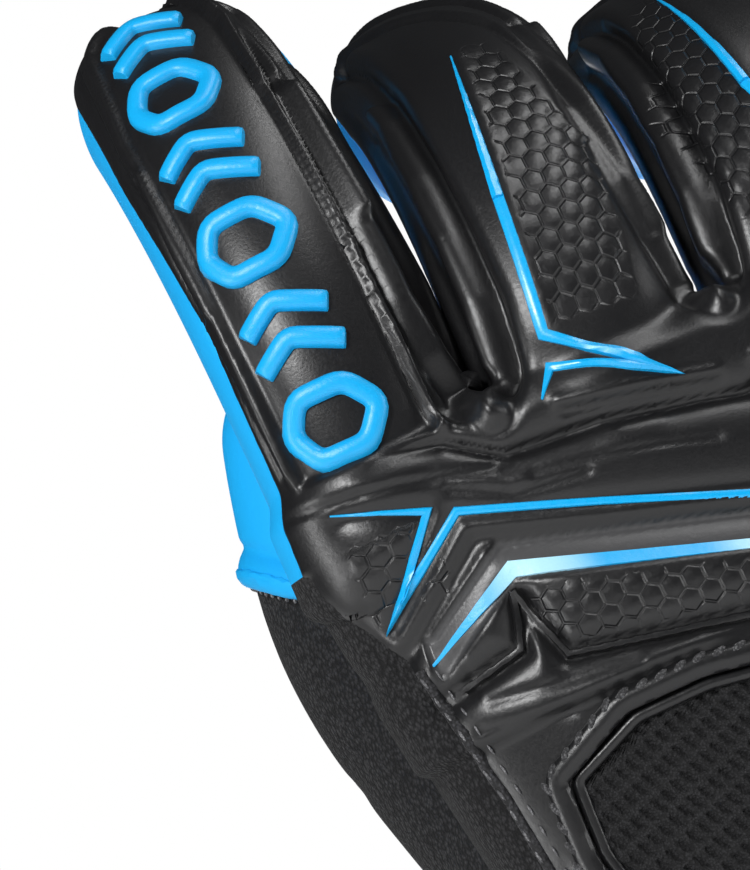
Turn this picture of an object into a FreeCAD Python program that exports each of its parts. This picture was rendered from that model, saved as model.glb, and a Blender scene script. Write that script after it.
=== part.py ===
"""Right-hand goalkeeper glove, standing on its cuff.

Millimetres. +Z runs from the cuff mouth to the fingertips, the back of the hand faces -Y,
the palm faces +Y, the thumb is at -X and the little finger at +X. The origin is the middle
of the cuff mouth. Every sub-part is one node, written to parts/NODE.step.
"""
import FreeCAD, Part
import math
import os

V = FreeCAD.Vector
os.makedirs("parts", exist_ok=True)

# ---------------------------------------------------------------- driving dimensions
CUFF_TOP = 64.0             # top of the elastic bandage
BINDING_HEIGHT = 6.0        # folded tape round the cuff mouth
HAND_TOP_BACK = 174.5       # upper edge of the backhand panel
HAND_TOP_PALM = 168.0       # upper edge of the palm latex, lower so the fingers can close

BACK_FOAM = 3.0             # thickness of the moulded backhand
PALM_FOAM = 3.5             # thickness of the palm latex
FINGER_FOAM = 3.0           # thickness of both halves of a finger
LINING = 0.8
FIT_GAP = 0.3               # clearance between neighbouring layers
TOUCH_GAP = 0.1             # clearance of trim bonded to the layer under it

BACK_FROM = 25.0            # the backhand panel covers these angles round the hand
BACK_TO = 155.0
PALM_FROM = 205.0           # and the palm latex these
PALM_TO = 335.0

KNUCKLE_GAP_BACK = 1.5      # start of a finger back above its knuckle axis
KNUCKLE_GAP_PALM = 3.0
JOINT_GAP_BACK = 3.4        # half gap at a middle joint, for 25 degrees of straightening
JOINT_GAP_PALM = 6.7        # half gap at a middle joint, for 35 degrees of closing
HALF_SEAM = 1.0             # each half of a finger stops this many degrees short of the side
TRIM_GAP = 0.25             # clearance of trim over a curved finger back

# Height, half width, half thickness to the back, half thickness to the palm.
HAND_SECTIONS = [
    (0.0, 46.0, 25.0, 25.0),
    (30.0, 43.0, 23.0, 23.0),
    (64.0, 41.0, 21.0, 21.5),
    (80.0, 43.0, 20.5, 22.0),
    (105.0, 48.0, 19.5, 23.5),
    (130.0, 51.5, 18.5, 23.0),
    (150.0, 54.5, 17.0, 20.0),
    (178.0, 57.0, 14.5, 14.5),
]
HAND_ROUNDNESS = 2.6        # exponent of the superellipse: 2 is an ellipse, more is squarer
FINGER_ROUNDNESS = 2.3

# Knuckle centre, splay from +Z (towards -X), start and end curl towards the palm in degrees,
# length along the middle line, width and thickness, and the place of the middle joint.
FINGERS = {
    "index": dict(base=(-44.0, 0.0, 178.0), splay=-1.0, curl=(-4.0, 60.0), length=77.0,
                  width=27.0, thick=26.0, joint=38.0),
    "middle": dict(base=(-13.5, -2.0, 179.0), splay=-5.0, curl=(6.0, 96.0), length=80.0,
                   width=27.5, thick=27.0, joint=40.0),
    "ring": dict(base=(17.0, -1.0, 180.0), splay=-7.0, curl=(14.0, 108.0), length=76.0,
                 width=27.0, thick=26.0, joint=38.0),
    "little": dict(base=(45.5, 2.0, 174.0), splay=-11.0, curl=(14.0, 100.0), length=63.0,
                   width=24.5, thick=24.0, joint=31.0),
}
SPINE_ANGLES = (74.0, 106.0)
SPINE_THICK = 1.4

# Middle line of the thumb, from the wrist to its tip, and its half sizes there.
THUMB_POINTS = [(-25.0, 12.0, 90.0), (-40.0, 36.0, 138.0), (-45.0, 42.0, 168.0), (-38.0, 46.0, 203.0)]
THUMB_HALF_WIDTH = (12.0, 15.5, 14.0, 12.5)
THUMB_BACK = V(-0.80, -0.60, 0.0)
THUMB_FOAM = 3.0
THUMB_ROOT_END = 0.30       # shares of the thumb's length
THUMB_LOWER = (0.39, 0.59)
HEM_SPAN = (0.67, 0.70)
THUMB_UPPER = (0.703, 1.0)

# Right half of the mesh window's outline, from the middle of its lower edge to the middle of its top.
WINDOW = [(0.0, 76.0), (30.0, 76.0), (40.5, 124.0), (40.0, 134.0), (30.0, 138.5), (20.0, 138.5), (0.0, 135.0)]
WINDOW_BINDING = 2.4        # width of the corded binding round the window

# Left half of the inlays across the knuckles, as (x, z); the right half is its mirror image.
STAR_LINE = [(-50.5, 173.8), (-41.5, 170.4), (-50.0, 159.5), (-38.5, 168.8), (-22.0, 162.8), (0.0, 155.5)]
BAND_LINE = [(-47.0, 152.5), (-35.5, 159.5), (-21.7, 155.2), (0.0, 148.5)]

STRAP_Z = (34.0, 60.0)
STRAP_ANGLES = (20.0, 198.0)
STRAP_INNER = 2.0           # strap faces, measured outwards from the bandage
STRAP_OUTER = 4.2


# ---------------------------------------------------------------- sections and lofts
def power(value, exponent):
    return math.copysign(abs(value) ** exponent, value)


class Section:
    """One cross-section: a superellipse with its own back and palm half thickness."""

    def __init__(self, centre, side, back, half_width, half_back, half_palm, roundness):
        self.centre = centre
        self.side = side
        self.back = back
        self.half_width = half_width
        self.half_back = half_back
        self.half_palm = half_palm
        self.exponent = 2.0 / roundness

    def point(self, angle, depth):
        """Angle 0 is the little-finger side, 90 the back; depth is measured inwards."""
        cosine = math.cos(math.radians(angle))
        sine = math.sin(math.radians(angle))
        half = self.half_back if sine > 0 else self.half_palm
        across = (self.half_width - depth) * power(cosine, self.exponent)
        up = (half - depth) * power(sine, self.exponent)
        return self.centre + self.side * across + self.back * up

    def arc(self, start, end, depth):
        steps = max(4, int(round(abs(end - start) / 15.0)))
        points = [self.point(start + (end - start) * i / steps, depth) for i in range(steps + 1)]
        curve = Part.BSplineCurve()
        curve.interpolate(points)
        return curve.toShape()

    def patch_wire(self, start, end, outer, inner):
        corners = [self.point(end, outer), self.point(end, inner)]
        corners += [self.point(start, inner), self.point(start, outer)]
        return Part.Wire([
            self.arc(start, end, outer),
            Part.makeLine(corners[0], corners[1]),
            self.arc(end, start, inner),
            Part.makeLine(corners[2], corners[3]),
        ])

    def half_wire(self, start, depth):
        end = start + 180.0 - HALF_SEAM
        start = start + HALF_SEAM
        chord = Part.makeLine(self.point(end, depth), self.point(start, depth))
        return Part.Wire([self.arc(start, end, depth), chord])

    def full_wire(self, depth):
        return Part.Wire([self.arc(0.0, 180.0, depth), self.arc(180.0, 360.0, depth)])


def loft(wires):
    return Part.makeLoft(wires, True, True)


def patch(sections, start, end, outer, inner):
    """A curved plate that covers an angle range, between two depths."""
    return loft([section.patch_wire(start, end, outer, inner) for section in sections])


def full_solid(sections, depth):
    return loft([section.full_wire(depth) for section in sections])


def full_ring(sections, outer, inner):
    return full_solid(sections, outer).cut(full_solid(sections, inner))


def write(shape, node):
    solids = shape.Solids
    if not solids:
        raise ValueError("no solid in " + node)
    kept = solids[0] if len(solids) == 1 else Part.makeCompound(solids)
    kept.exportStep("parts/" + node + ".step")
    print(node, len(solids), "solids", round(kept.Volume, 1), "mm3", kept.isValid())


# ---------------------------------------------------------------- hand form
def hand_section(height):
    table = HAND_SECTIONS
    for low, high in zip(table, table[1:]):
        if height <= high[0]:
            break
    share = (height - low[0]) / (high[0] - low[0])
    width, back, palm = [low[i] + (high[i] - low[i]) * share for i in (1, 2, 3)]
    return Section(V(0, 0, height), V(1, 0, 0), V(0, -1, 0), width, back, palm, HAND_ROUNDNESS)


def hand_span(low, high):
    inner = [row[0] for row in HAND_SECTIONS if low + 2.0 < row[0] < high - 2.0]
    return [hand_section(height) for height in [low] + inner + [high]]


def prism(outline, y_from=-60.0, y_to=0.0):
    """An outline in the X-Z plane, extruded through the back of the hand."""
    points = [V(x, y_from, z) for x, z in outline]
    face = Part.Face(Part.makePolygon(points + [points[0]]))
    return face.extrude(V(0, y_to - y_from, 0))


def window_outline(growth):
    """The window's outline, grown outwards about its middle by roughly this much."""
    half_width = max(x for x, z in WINDOW)
    top = max(z for x, z in WINDOW)
    middle = (top + WINDOW[0][1]) / 2
    half_height = top - middle
    right = [(x * (1 + growth / half_width), middle + (z - middle) * (1 + growth / half_height))
             for x, z in WINDOW]
    left = [(-x, z) for x, z in right[1:-1]]
    return right + left[::-1]


def mitred_strip(line, width):
    """Outline of a strip of one width along an open line, with mitred corners."""
    left, right = [], []
    for i, (x, z) in enumerate(line):
        before = line[max(i - 1, 0)]
        after = line[min(i + 1, len(line) - 1)]
        way_in = V(x - before[0], z - before[1], 0)
        way_out = V(after[0] - x, after[1] - z, 0)
        if way_in.Length == 0:
            way_in = way_out
        if way_out.Length == 0:
            way_out = way_in
        way_in.normalize()
        way_out.normalize()
        mean = way_in + way_out
        mean.normalize()
        normal = V(-mean.y, mean.x, 0)
        reach = width / 2 / max(normal.dot(V(-way_in.y, way_in.x, 0)), 0.35)
        left.append((x + normal.x * reach, z + normal.y * reach))
        right.append((x - normal.x * reach, z - normal.y * reach))
    return left + right[::-1]


# ---------------------------------------------------------------- finger form
def finger_section(finger, distance, inset=0.0):
    """Section across a finger at a distance along its middle line, with a domed tip."""
    splay = math.radians(finger["splay"])
    forward = V(-math.sin(splay), 0, math.cos(splay))
    palmwards = V(0, 1, 0)
    start, end = [math.radians(angle) for angle in finger["curl"]]
    rate = (end - start) / finger["length"]
    angle = start + rate * distance
    along = (math.sin(angle) - math.sin(start)) / rate
    bent = (math.cos(start) - math.cos(angle)) / rate
    centre = V(*finger["base"]) + forward * along + palmwards * bent
    tangent = forward * math.cos(angle) + palmwards * math.sin(angle)
    side = V(math.cos(splay), 0, math.sin(splay))
    back = side.cross(tangent)
    width = finger["width"] / 2 - inset
    thick = finger["thick"] / 2 - inset
    left_over = finger["length"] - inset - distance
    dome = 1.0
    if left_over < width:
        dome = math.sqrt(max(0.0, 1.0 - ((width - left_over) / width) ** 2))
    return Section(centre, side, back, width * dome, thick * dome, thick * dome, FINGER_ROUNDNESS)


def finger_span(finger, low, high, inset=0.0):
    tip = finger["length"] - inset
    top = min(high, tip - 0.4)
    stations = [low + (top - low) * i / 6.0 for i in range(7)]
    if high >= tip:
        width = finger["width"] / 2 - inset
        shoulder = tip - width
        stations = [low + (shoulder - low) * i / 4.0 for i in range(5)]
        stations += [tip - width * (1 - math.sin(math.radians(a))) for a in (22, 42, 60, 76)]
        stations.append(tip - 0.12)
    return [finger_section(finger, s, inset) for s in stations]


def finger_half(finger, low, high, start):
    """Half of a finger's shell: start 0 is the back, start 180 the palm side."""
    outer = loft([section.half_wire(start, 0.0) for section in finger_span(finger, low, high)])
    past = 6.0
    inner = finger_span(finger, low - past, high + past, FINGER_FOAM)
    return outer.cut(full_solid(inner, 0.0))


def build_finger(name, finger):
    joint = finger["joint"]
    tip = finger["length"] + 1.0
    lower = (KNUCKLE_GAP_BACK, joint - JOINT_GAP_BACK)
    upper = (joint + JOINT_GAP_BACK, tip)
    write(finger_half(finger, lower[0], lower[1], 0.0), name + "_back_lower")
    write(finger_half(finger, upper[0], upper[1], 0.0), name + "_back_upper")
    write(finger_half(finger, KNUCKLE_GAP_PALM, joint - JOINT_GAP_PALM, 180.0), name + "_latex_lower")
    write(finger_half(finger, joint + JOINT_GAP_PALM, tip, 180.0), name + "_latex_upper")
    spine_top = FINGER_FOAM + 2 * FIT_GAP
    spine_low = spine_top + SPINE_THICK
    runs = {"lower": (4.0, joint - JOINT_GAP_BACK - 1.0),
            "upper": (joint + JOINT_GAP_BACK + 1.0, finger["length"] - 17.0)}
    for half, (low, high) in runs.items():
        sections = finger_span(finger, low, high)
        spine = patch(sections, SPINE_ANGLES[0], SPINE_ANGLES[1], spine_top, spine_low)
        write(spine, name + "_spine_" + half)


def finger_trim(finger, low, high, start, end, height):
    """A low pad bonded to the back of a finger."""
    sections = finger_span(finger, low, high)
    return patch(sections, start, end, -height, -TRIM_GAP)


# ---------------------------------------------------------------- thumb form
THUMB_CURVE = Part.BSplineCurve()
THUMB_CURVE.interpolate([V(*point) for point in THUMB_POINTS])


def thumb_section(share, inset=0.0):
    first, last = THUMB_CURVE.FirstParameter, THUMB_CURVE.LastParameter
    parameter = THUMB_CURVE.parameterAtDistance(THUMB_CURVE.length() * share, first)
    centre = THUMB_CURVE.value(parameter)
    tangent = THUMB_CURVE.tangent(parameter)[0]
    side = tangent.cross(THUMB_BACK)
    side.normalize()
    back = side.cross(tangent)
    place = share * (len(THUMB_HALF_WIDTH) - 1)
    low = min(int(place), len(THUMB_HALF_WIDTH) - 2)
    grown = THUMB_HALF_WIDTH[low + 1] - THUMB_HALF_WIDTH[low]
    width = THUMB_HALF_WIDTH[low] + grown * (place - low) - inset
    left_over = THUMB_CURVE.length(parameter, last) - inset
    dome = 1.0
    if left_over < width:
        dome = math.sqrt(max(0.02, 1.0 - ((width - left_over) / width) ** 2))
    size = width * dome
    return Section(centre, side, back, size, size, size, FINGER_ROUNDNESS)


def thumb_span(low, high, inset=0.0, steps=4):
    shares = [low + (high - low) * i / float(steps) for i in range(steps + 1)]
    return [thumb_section(share, inset) for share in shares]


def build_thumb():
    cavity = full_solid(thumb_span(0.0, 0.965, THUMB_FOAM, 16), 0.0)
    lower = thumb_span(THUMB_LOWER[0], THUMB_LOWER[1])
    for start, node in ((0.0, "thumb_back_lower"), (180.0, "thumb_latex_lower")):
        half = loft([section.half_wire(start, 0.0) for section in lower])
        write(half.cut(cavity), node)
    cap = full_solid(thumb_span(THUMB_UPPER[0], THUMB_UPPER[1], 0.0, 10), 0.0)
    write(cap.cut(cavity), "thumb_cap")
    hem = full_solid(thumb_span(HEM_SPAN[0], HEM_SPAN[1], 0.0, 2), -0.6)
    write(hem.cut(cavity), "thumb_hem")
    return cavity


# ---------------------------------------------------------------- hand parts
def build_hand(thumb_cavity):
    top_back = hand_span(CUFF_TOP + FIT_GAP, HAND_TOP_BACK)
    top_palm = hand_span(CUFF_TOP + FIT_GAP, HAND_TOP_PALM)
    root = full_solid(thumb_span(0.0, THUMB_ROOT_END), 0.0)
    outside = full_solid(hand_span(60.0, 178.0), -TOUCH_GAP)
    passage = thumb_cavity

    window = prism(window_outline(0.0))
    panel = patch(top_back, BACK_FROM, BACK_TO, 0.0, BACK_FOAM).cut(window)
    write(panel, "backhand_panel")
    lining = patch(top_back, BACK_FROM, BACK_TO, BACK_FOAM + FIT_GAP, BACK_FOAM + FIT_GAP + LINING)
    write(lining, "backhand_lining")
    pane = prism(window_outline(-FIT_GAP))
    write(patch(top_back, BACK_FROM, BACK_TO, 0.8, 2.4).common(pane), "mesh_panel")
    rim = prism(window_outline(WINDOW_BINDING)).cut(window)
    cover = patch(top_back, BACK_FROM, BACK_TO, -1.4, -TOUCH_GAP)
    write(cover.common(rim), "mesh_binding")

    palm = patch(top_palm, PALM_FROM, PALM_TO, 0.0, PALM_FOAM)
    write(palm.cut(passage), "palm_latex")
    lining = patch(top_palm, PALM_FROM, PALM_TO, PALM_FOAM + FIT_GAP, PALM_FOAM + FIT_GAP + LINING)
    write(lining.cut(passage), "palm_lining")

    side = patch(top_palm, BACK_TO + 0.5, PALM_FROM - 0.5, 0.3, 2.2)
    write(side.cut(passage), "thumb_side_gusset")
    write(patch(top_palm, PALM_TO + 0.5, BACK_FROM + 359.5, 0.3, 2.2), "outer_side_gusset")
    write(root.cut(passage).cut(outside), "thumb_root_gusset")
    seam_angle = BACK_TO + 2.0
    seam = patch(hand_span(CUFF_TOP + 4.0, 162.0), seam_angle, seam_angle + 4.0, -1.0, -TOUCH_GAP)
    write(seam, "thumb_side_seam")

    webs = []
    for left, right in (("index", "middle"), ("middle", "ring"), ("ring", "little")):
        a, b = FINGERS[left], FINGERS[right]
        inner = a["base"][0] + a["width"] / 2
        outer = b["base"][0] - b["width"] / 2
        middle = (inner + outer) / 2
        web = Part.makeBox(2.0, 15.0, 9.0, V(middle - 1.0, -7.5, HAND_TOP_PALM - 9.0))
        webs.append(web)
    write(Part.makeCompound(webs), "web_gussets")


def build_backhand_trim():
    """Inlays on the backhand: a thin line that folds into a star point, and a wide band."""
    line = STAR_LINE + [(-x, z) for x, z in STAR_LINE[-2::-1]]
    band = BAND_LINE + [(-x, z) for x, z in BAND_LINE[-2::-1]]
    for node, route, width in (("star_inlay", line, 1.4), ("knuckle_band", band, 3.4)):
        cover = patch(hand_span(140.0, HAND_TOP_BACK), BACK_FROM, BACK_TO, -0.8, -TOUCH_GAP)
        write(cover.common(prism(mitred_strip(route, width))), node)


def build_finger_trim():
    index = FINGERS["index"]
    pitch = 10.6
    first = 5.0
    groups = {"lower": [0, 1, 2], "upper": [3, 4, 5]}
    for half, places in groups.items():
        pads = []
        for place in places:
            low = first + pitch * place + (3.5 if half == "upper" else 0.0)
            pads.append(finger_trim(index, low, low + 8.4, 62.0, 118.0, 1.8))
        write(Part.makeCompound(pads), "index_motifs_" + half)
    for name, angles in (("middle", (100.0, 106.0)), ("ring", (74.0, 80.0))):
        finger = FINGERS[name]
        joint = finger["joint"]
        low = finger_trim(finger, 4.0, joint - JOINT_GAP_BACK - 0.5, angles[0], angles[1], 0.9)
        high = finger_trim(finger, joint + JOINT_GAP_BACK + 0.5, joint + 22.0, angles[0], angles[1], 0.9)
        write(low, name + "_inlay_lower")
        write(high, name + "_inlay_upper")


# ---------------------------------------------------------------- cuff and strap
def build_cuff():
    cuff = hand_span(BINDING_HEIGHT + TOUCH_GAP, CUFF_TOP)
    write(full_ring(cuff, 0.0, 2.2), "wrist_bandage")
    write(full_ring(hand_span(0.0, BINDING_HEIGHT), -0.7, 2.9), "cuff_binding")
    strap = hand_span(STRAP_Z[0], STRAP_Z[1])
    pad = hand_span(STRAP_Z[0] + 3.0, STRAP_Z[1] - 3.0)
    badge = hand_span(STRAP_Z[0] + 5.0, STRAP_Z[1] - 5.0)
    write(patch(pad, 24.0, 80.0, -0.9, -TOUCH_GAP), "loop_pad")
    write(patch(strap, 200.0, 216.0, -1.5, -TOUCH_GAP), "strap_root_tab")
    write(patch(hand_span(3.0, 30.0), 258.0, 282.0, -2.8, -0.9), "pull_tab")
    write(patch(strap, STRAP_ANGLES[0], STRAP_ANGLES[1], -STRAP_OUTER, -STRAP_INNER), "wrist_strap")
    write(patch(pad, 26.0, 62.0, -STRAP_INNER + TOUCH_GAP, -1.2), "hook_pad")
    write(patch(badge, 72.0, 108.0, -STRAP_OUTER - 1.0, -STRAP_OUTER - TOUCH_GAP), "strap_badge")


for finger_name, finger_sizes in FINGERS.items():
    build_finger(finger_name, finger_sizes)
THUMB_CAVITY = build_thumb()
build_hand(THUMB_CAVITY)
build_backhand_trim()
build_finger_trim()
build_cuff()
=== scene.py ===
import math

import bpy
import numpy as np
from mathutils import Matrix, Vector
from mathutils.bvhtree import BVHTree


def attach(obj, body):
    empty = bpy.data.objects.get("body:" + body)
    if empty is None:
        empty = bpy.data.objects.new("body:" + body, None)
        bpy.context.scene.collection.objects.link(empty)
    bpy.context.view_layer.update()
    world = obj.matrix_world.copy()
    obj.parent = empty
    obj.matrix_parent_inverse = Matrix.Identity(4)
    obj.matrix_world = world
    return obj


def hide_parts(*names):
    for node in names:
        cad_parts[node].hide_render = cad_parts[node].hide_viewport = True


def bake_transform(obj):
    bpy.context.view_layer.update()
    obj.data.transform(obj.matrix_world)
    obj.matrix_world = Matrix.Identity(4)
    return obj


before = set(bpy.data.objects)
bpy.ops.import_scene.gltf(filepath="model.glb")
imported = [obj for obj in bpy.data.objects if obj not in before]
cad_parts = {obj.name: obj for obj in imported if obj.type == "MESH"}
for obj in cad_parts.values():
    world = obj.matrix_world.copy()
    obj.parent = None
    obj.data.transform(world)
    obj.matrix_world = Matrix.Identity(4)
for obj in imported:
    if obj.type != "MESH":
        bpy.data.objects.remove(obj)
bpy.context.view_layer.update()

MM = 0.001
scene = bpy.context.scene
scene.view_settings.view_transform = "Standard"

# %% [markdown]
# A goalkeeper glove is one soft skin over a hand, cut and sewn from panels: black moulded foam
# on the back, blue latex in the palm and on the fronts of the fingers, knit textile at the sides.
# The skin is made first as one form, from tubes along the fingers and a flat tube for the hand,
# because a real glove has no steps where a finger leaves the hand. It is cut into panels later.

# %% Sizes of the form, in millimetres, the same as the design's
HAND = np.array([
    (0.0, 46.0, 25.0, 25.0), (30.0, 43.0, 23.0, 23.0), (64.0, 41.0, 21.0, 21.5),
    (80.0, 43.0, 20.5, 22.0), (105.0, 48.0, 19.5, 23.5), (130.0, 51.5, 18.5, 23.0),
    (150.0, 54.5, 17.0, 20.0), (178.0, 57.0, 14.5, 14.5),
])
HAND_ROUND = 2.6
FINGER_ROUND = 2.3
FINGERS = {
    "index": dict(base=(-44.0, 0.0, 178.0), splay=-1.0, curl=(-4.0, 60.0), length=77.0, width=27.0,
                  thick=26.0, joint=38.0),
    "middle": dict(base=(-13.5, -2.0, 179.0), splay=-5.0, curl=(6.0, 96.0), length=80.0, width=27.5,
                   thick=27.0, joint=40.0),
    "ring": dict(base=(17.0, -1.0, 180.0), splay=-7.0, curl=(14.0, 108.0), length=76.0, width=27.0,
                 thick=26.0, joint=38.0),
    "little": dict(base=(45.5, 2.0, 174.0), splay=-11.0, curl=(14.0, 100.0), length=63.0, width=24.5,
                   thick=24.0, joint=31.0),
}
THUMB_POINTS = np.array([(-25.0, 12.0, 90.0), (-40.0, 36.0, 138.0), (-45.0, 42.0, 168.0),
                         (-38.0, 46.0, 203.0)])
THUMB_HALF = np.array([12.0, 15.5, 14.0, 12.5])


# %% Helpers: selecting, reading and writing a mesh
def only(piece):
    """Makes one object the selected and active one."""
    bpy.ops.object.select_all(action="DESELECT")
    piece.select_set(True)
    bpy.context.view_layer.objects.active = piece


def points_of(piece):
    """The vertices in millimetres."""
    flat = np.empty(len(piece.data.vertices) * 3)
    piece.data.vertices.foreach_get("co", flat)
    return flat.reshape(-1, 3) / MM


def move_points(piece, points):
    piece.data.vertices.foreach_set("co", (np.asarray(points) * MM).ravel())
    piece.data.update()


def apply_modifier(piece, kind, **settings):
    only(piece)
    modifier = piece.modifiers.new(kind.title(), kind)
    for key, value in settings.items():
        setattr(modifier, key, value)
    bpy.ops.object.modifier_apply(modifier=modifier.name)


def shaped_grid(name, across, along, place):
    """A flat grid primitive, bent to place(u, v), with u and v from 0 to 1."""
    bpy.ops.object.select_all(action="DESELECT")
    bpy.ops.mesh.primitive_grid_add(x_subdivisions=across, y_subdivisions=along, size=2)
    piece = bpy.context.object
    piece.name = name
    unit = points_of(piece) * MM
    move_points(piece, place((unit[:, 0] + 1) / 2, (unit[:, 1] + 1) / 2))
    return piece


def weld(piece, distance=0.01):
    only(piece)
    bpy.ops.object.mode_set(mode="EDIT")
    bpy.ops.mesh.select_all(action="SELECT")
    bpy.ops.mesh.remove_doubles(threshold=distance * MM)
    bpy.ops.mesh.fill_holes(sides=0)
    bpy.ops.mesh.select_all(action="SELECT")
    bpy.ops.mesh.normals_make_consistent(inside=False)
    bpy.ops.object.mode_set(mode="OBJECT")
    return piece


def join(pieces, name):
    bpy.ops.object.select_all(action="DESELECT")
    for piece in pieces:
        piece.select_set(True)
    bpy.context.view_layer.objects.active = pieces[0]
    if len(pieces) > 1:
        bpy.ops.object.join()
    pieces[0].name = name
    return pieces[0]


# %% Helpers: the form's own coordinates
def signed_power(value, exponent):
    return np.sign(value) * np.abs(value) ** exponent


def hand_sizes(z):
    return [np.interp(z, HAND[:, 0], HAND[:, column]) for column in (1, 2, 3)]


def hand_point(angle, z, depth=0.0):
    """A point on the hand: angle 0 is the little-finger side, 90 the back of the hand."""
    width, back, palm = hand_sizes(z)
    cosine = np.cos(np.radians(angle))
    sine = np.sin(np.radians(angle))
    half = np.where(sine > 0, back, palm)
    x = (width - depth) * signed_power(cosine, 2 / HAND_ROUND)
    y = -(half - depth) * signed_power(sine, 2 / HAND_ROUND)
    return np.stack([x, y, z + 0 * x], -1)


def finger_axes(finger):
    splay = math.radians(finger["splay"])
    forward = np.array([-math.sin(splay), 0, math.cos(splay)])
    side = np.array([math.cos(splay), 0, math.sin(splay)])
    start, end = [math.radians(angle) for angle in finger["curl"]]
    return forward, side, start, end, finger["length"] / (end - start)


def finger_point(finger, s, angle, depth=0.0):
    """A point on a finger's form: s along its middle line, angle 90 on its back."""
    forward, side, start, end, radius = finger_axes(finger)
    s = np.asarray(s, float)
    curl = start + s / radius
    palmwards = np.array([0.0, 1.0, 0.0])
    centre = np.array(finger["base"]) + radius * (
        np.outer(np.sin(curl) - math.sin(start), forward)
        + np.outer(math.cos(start) - np.cos(curl), palmwards))
    back = np.outer(np.sin(curl), forward) - np.outer(np.cos(curl), palmwards)
    half = finger["width"] / 2 - depth
    left_over = np.clip((finger["length"] - depth - s) / half, 0, 1)
    dome = np.sqrt(np.clip(1 - (1 - left_over) ** 2, 0, 1))
    cosine = np.cos(np.radians(angle))
    sine = np.sin(np.radians(angle))
    x = half * dome * signed_power(cosine, 2 / FINGER_ROUND)
    up = (finger["thick"] / 2 - depth) * dome * signed_power(sine, 2 / FINGER_ROUND)
    return centre + x[:, None] * side + up[:, None] * back


def finger_coordinates(finger, points):
    """s along the finger, x across it and h above its middle line, for any points."""
    forward, side, start, end, radius = finger_axes(finger)
    offset = points - np.array(finger["base"])
    along = offset @ forward + radius * math.sin(start)
    down = offset[:, 1] - radius * math.cos(start)
    curl = np.arctan2(along, -down)
    return (curl - start) * radius, offset @ side, np.hypot(along, down) - radius


def thumb_line(count=60):
    """Points along the thumb's middle line, a smooth curve through its four points."""
    t = np.linspace(0, 3, count)
    low = np.clip(t.astype(int), 0, 2)
    f = (t - low)[:, None]
    padded = np.vstack([2 * THUMB_POINTS[0] - THUMB_POINTS[1], THUMB_POINTS,
                        2 * THUMB_POINTS[3] - THUMB_POINTS[2]])
    p0, p1, p2, p3 = [padded[low + i] for i in range(4)]
    return 0.5 * (2 * p1 + (p2 - p0) * f + (2 * p0 - 5 * p1 + 4 * p2 - p3) * f ** 2
                  + (3 * p1 - p0 - 3 * p2 + p3) * f ** 3)


THUMB = thumb_line()
THUMB_STEP = np.r_[0, np.cumsum(np.linalg.norm(np.diff(THUMB, axis=0), axis=1))]
THUMB_LENGTH = THUMB_STEP[-1]


def thumb_place(s):
    """Centre, tangent, side and back of the thumb at distances along it, and its half size."""
    centre = np.stack([np.interp(s, THUMB_STEP, THUMB[:, i]) for i in range(3)], -1)
    ahead = np.stack([np.interp(s + 1, THUMB_STEP, THUMB[:, i]) for i in range(3)], -1)
    behind = np.stack([np.interp(s - 1, THUMB_STEP, THUMB[:, i]) for i in range(3)], -1)
    tangent = ahead - behind
    tangent /= np.linalg.norm(tangent, axis=1)[:, None]
    side = np.cross(tangent, np.array([-0.8, -0.6, 0.0]))
    side /= np.linalg.norm(side, axis=1)[:, None]
    half = np.interp(s / THUMB_LENGTH * 3, np.arange(4), THUMB_HALF)
    return centre, tangent, side, np.cross(side, tangent), half


def thumb_point(s, angle, depth=0.0):
    centre, tangent, side, back, half = thumb_place(np.asarray(s, float))
    half = half - depth
    left_over = np.clip((THUMB_LENGTH - depth - s) / half, 0, 1)
    size = half * np.sqrt(np.clip(1 - (1 - left_over) ** 2, 0, 1))
    x = size * signed_power(np.cos(np.radians(angle)), 2 / FINGER_ROUND)
    up = size * signed_power(np.sin(np.radians(angle)), 2 / FINGER_ROUND)
    return centre + x[:, None] * side + up[:, None] * back


# %% Form: five tubes and the flat tube of the hand
FINGER_GRID = (64, 90)       # faces round a finger and along it
HAND_GRID = (120, 90)
FINGER_ROOT = 12             # how far a finger's tube runs down into the hand
HAND_LOW, HAND_HIGH = 56, 180.0
TUBE_WELD = 0.05


def towards_tip(v):
    """Shares of a finger's length that lie closer together at its rounded tip."""
    return np.sin(v * math.pi / 2) ** 0.9


def finger_tube(name, finger):
    def place(u, v):
        s = (finger["length"] + FINGER_ROOT) * towards_tip(v) - FINGER_ROOT
        return finger_point(finger, s, u * 360)
    return weld(shaped_grid(name, *FINGER_GRID, place), TUBE_WELD)


def thumb_tube():
    def place(u, v):
        return thumb_point(THUMB_LENGTH * towards_tip(v), u * 360)
    return weld(shaped_grid("thumb_form", *FINGER_GRID, place), TUBE_WELD)


def hand_tube():
    def place(u, v):
        return hand_point(u * 360, HAND_LOW + v * (HAND_HIGH - HAND_LOW))
    return weld(shaped_grid("hand_form", *HAND_GRID, place), TUBE_WELD)


tubes = [finger_tube(name + "_form", finger) for name, finger in FINGERS.items()]
tubes += [thumb_tube(), hand_tube()]
skin = join(tubes, "glove_skin")
VOXEL = 0.5
apply_modifier(skin, "REMESH", mode="VOXEL", voxel_size=VOXEL * MM)
print("skin vertices", len(skin.data.vertices))

# %% [markdown]
# The remeshed form still has sharp valleys where the tubes cross. Real foam bridges them in a
# soft saddle, so the points are averaged with their neighbours, most of all between the fingers
# and where the thumb leaves the palm.

# %% Smoothing by averaging neighbours
def edge_ends(piece):
    ends = np.empty(len(piece.data.edges) * 2, int)
    piece.data.edges.foreach_get("vertices", ends)
    return ends.reshape(-1, 2)


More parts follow.
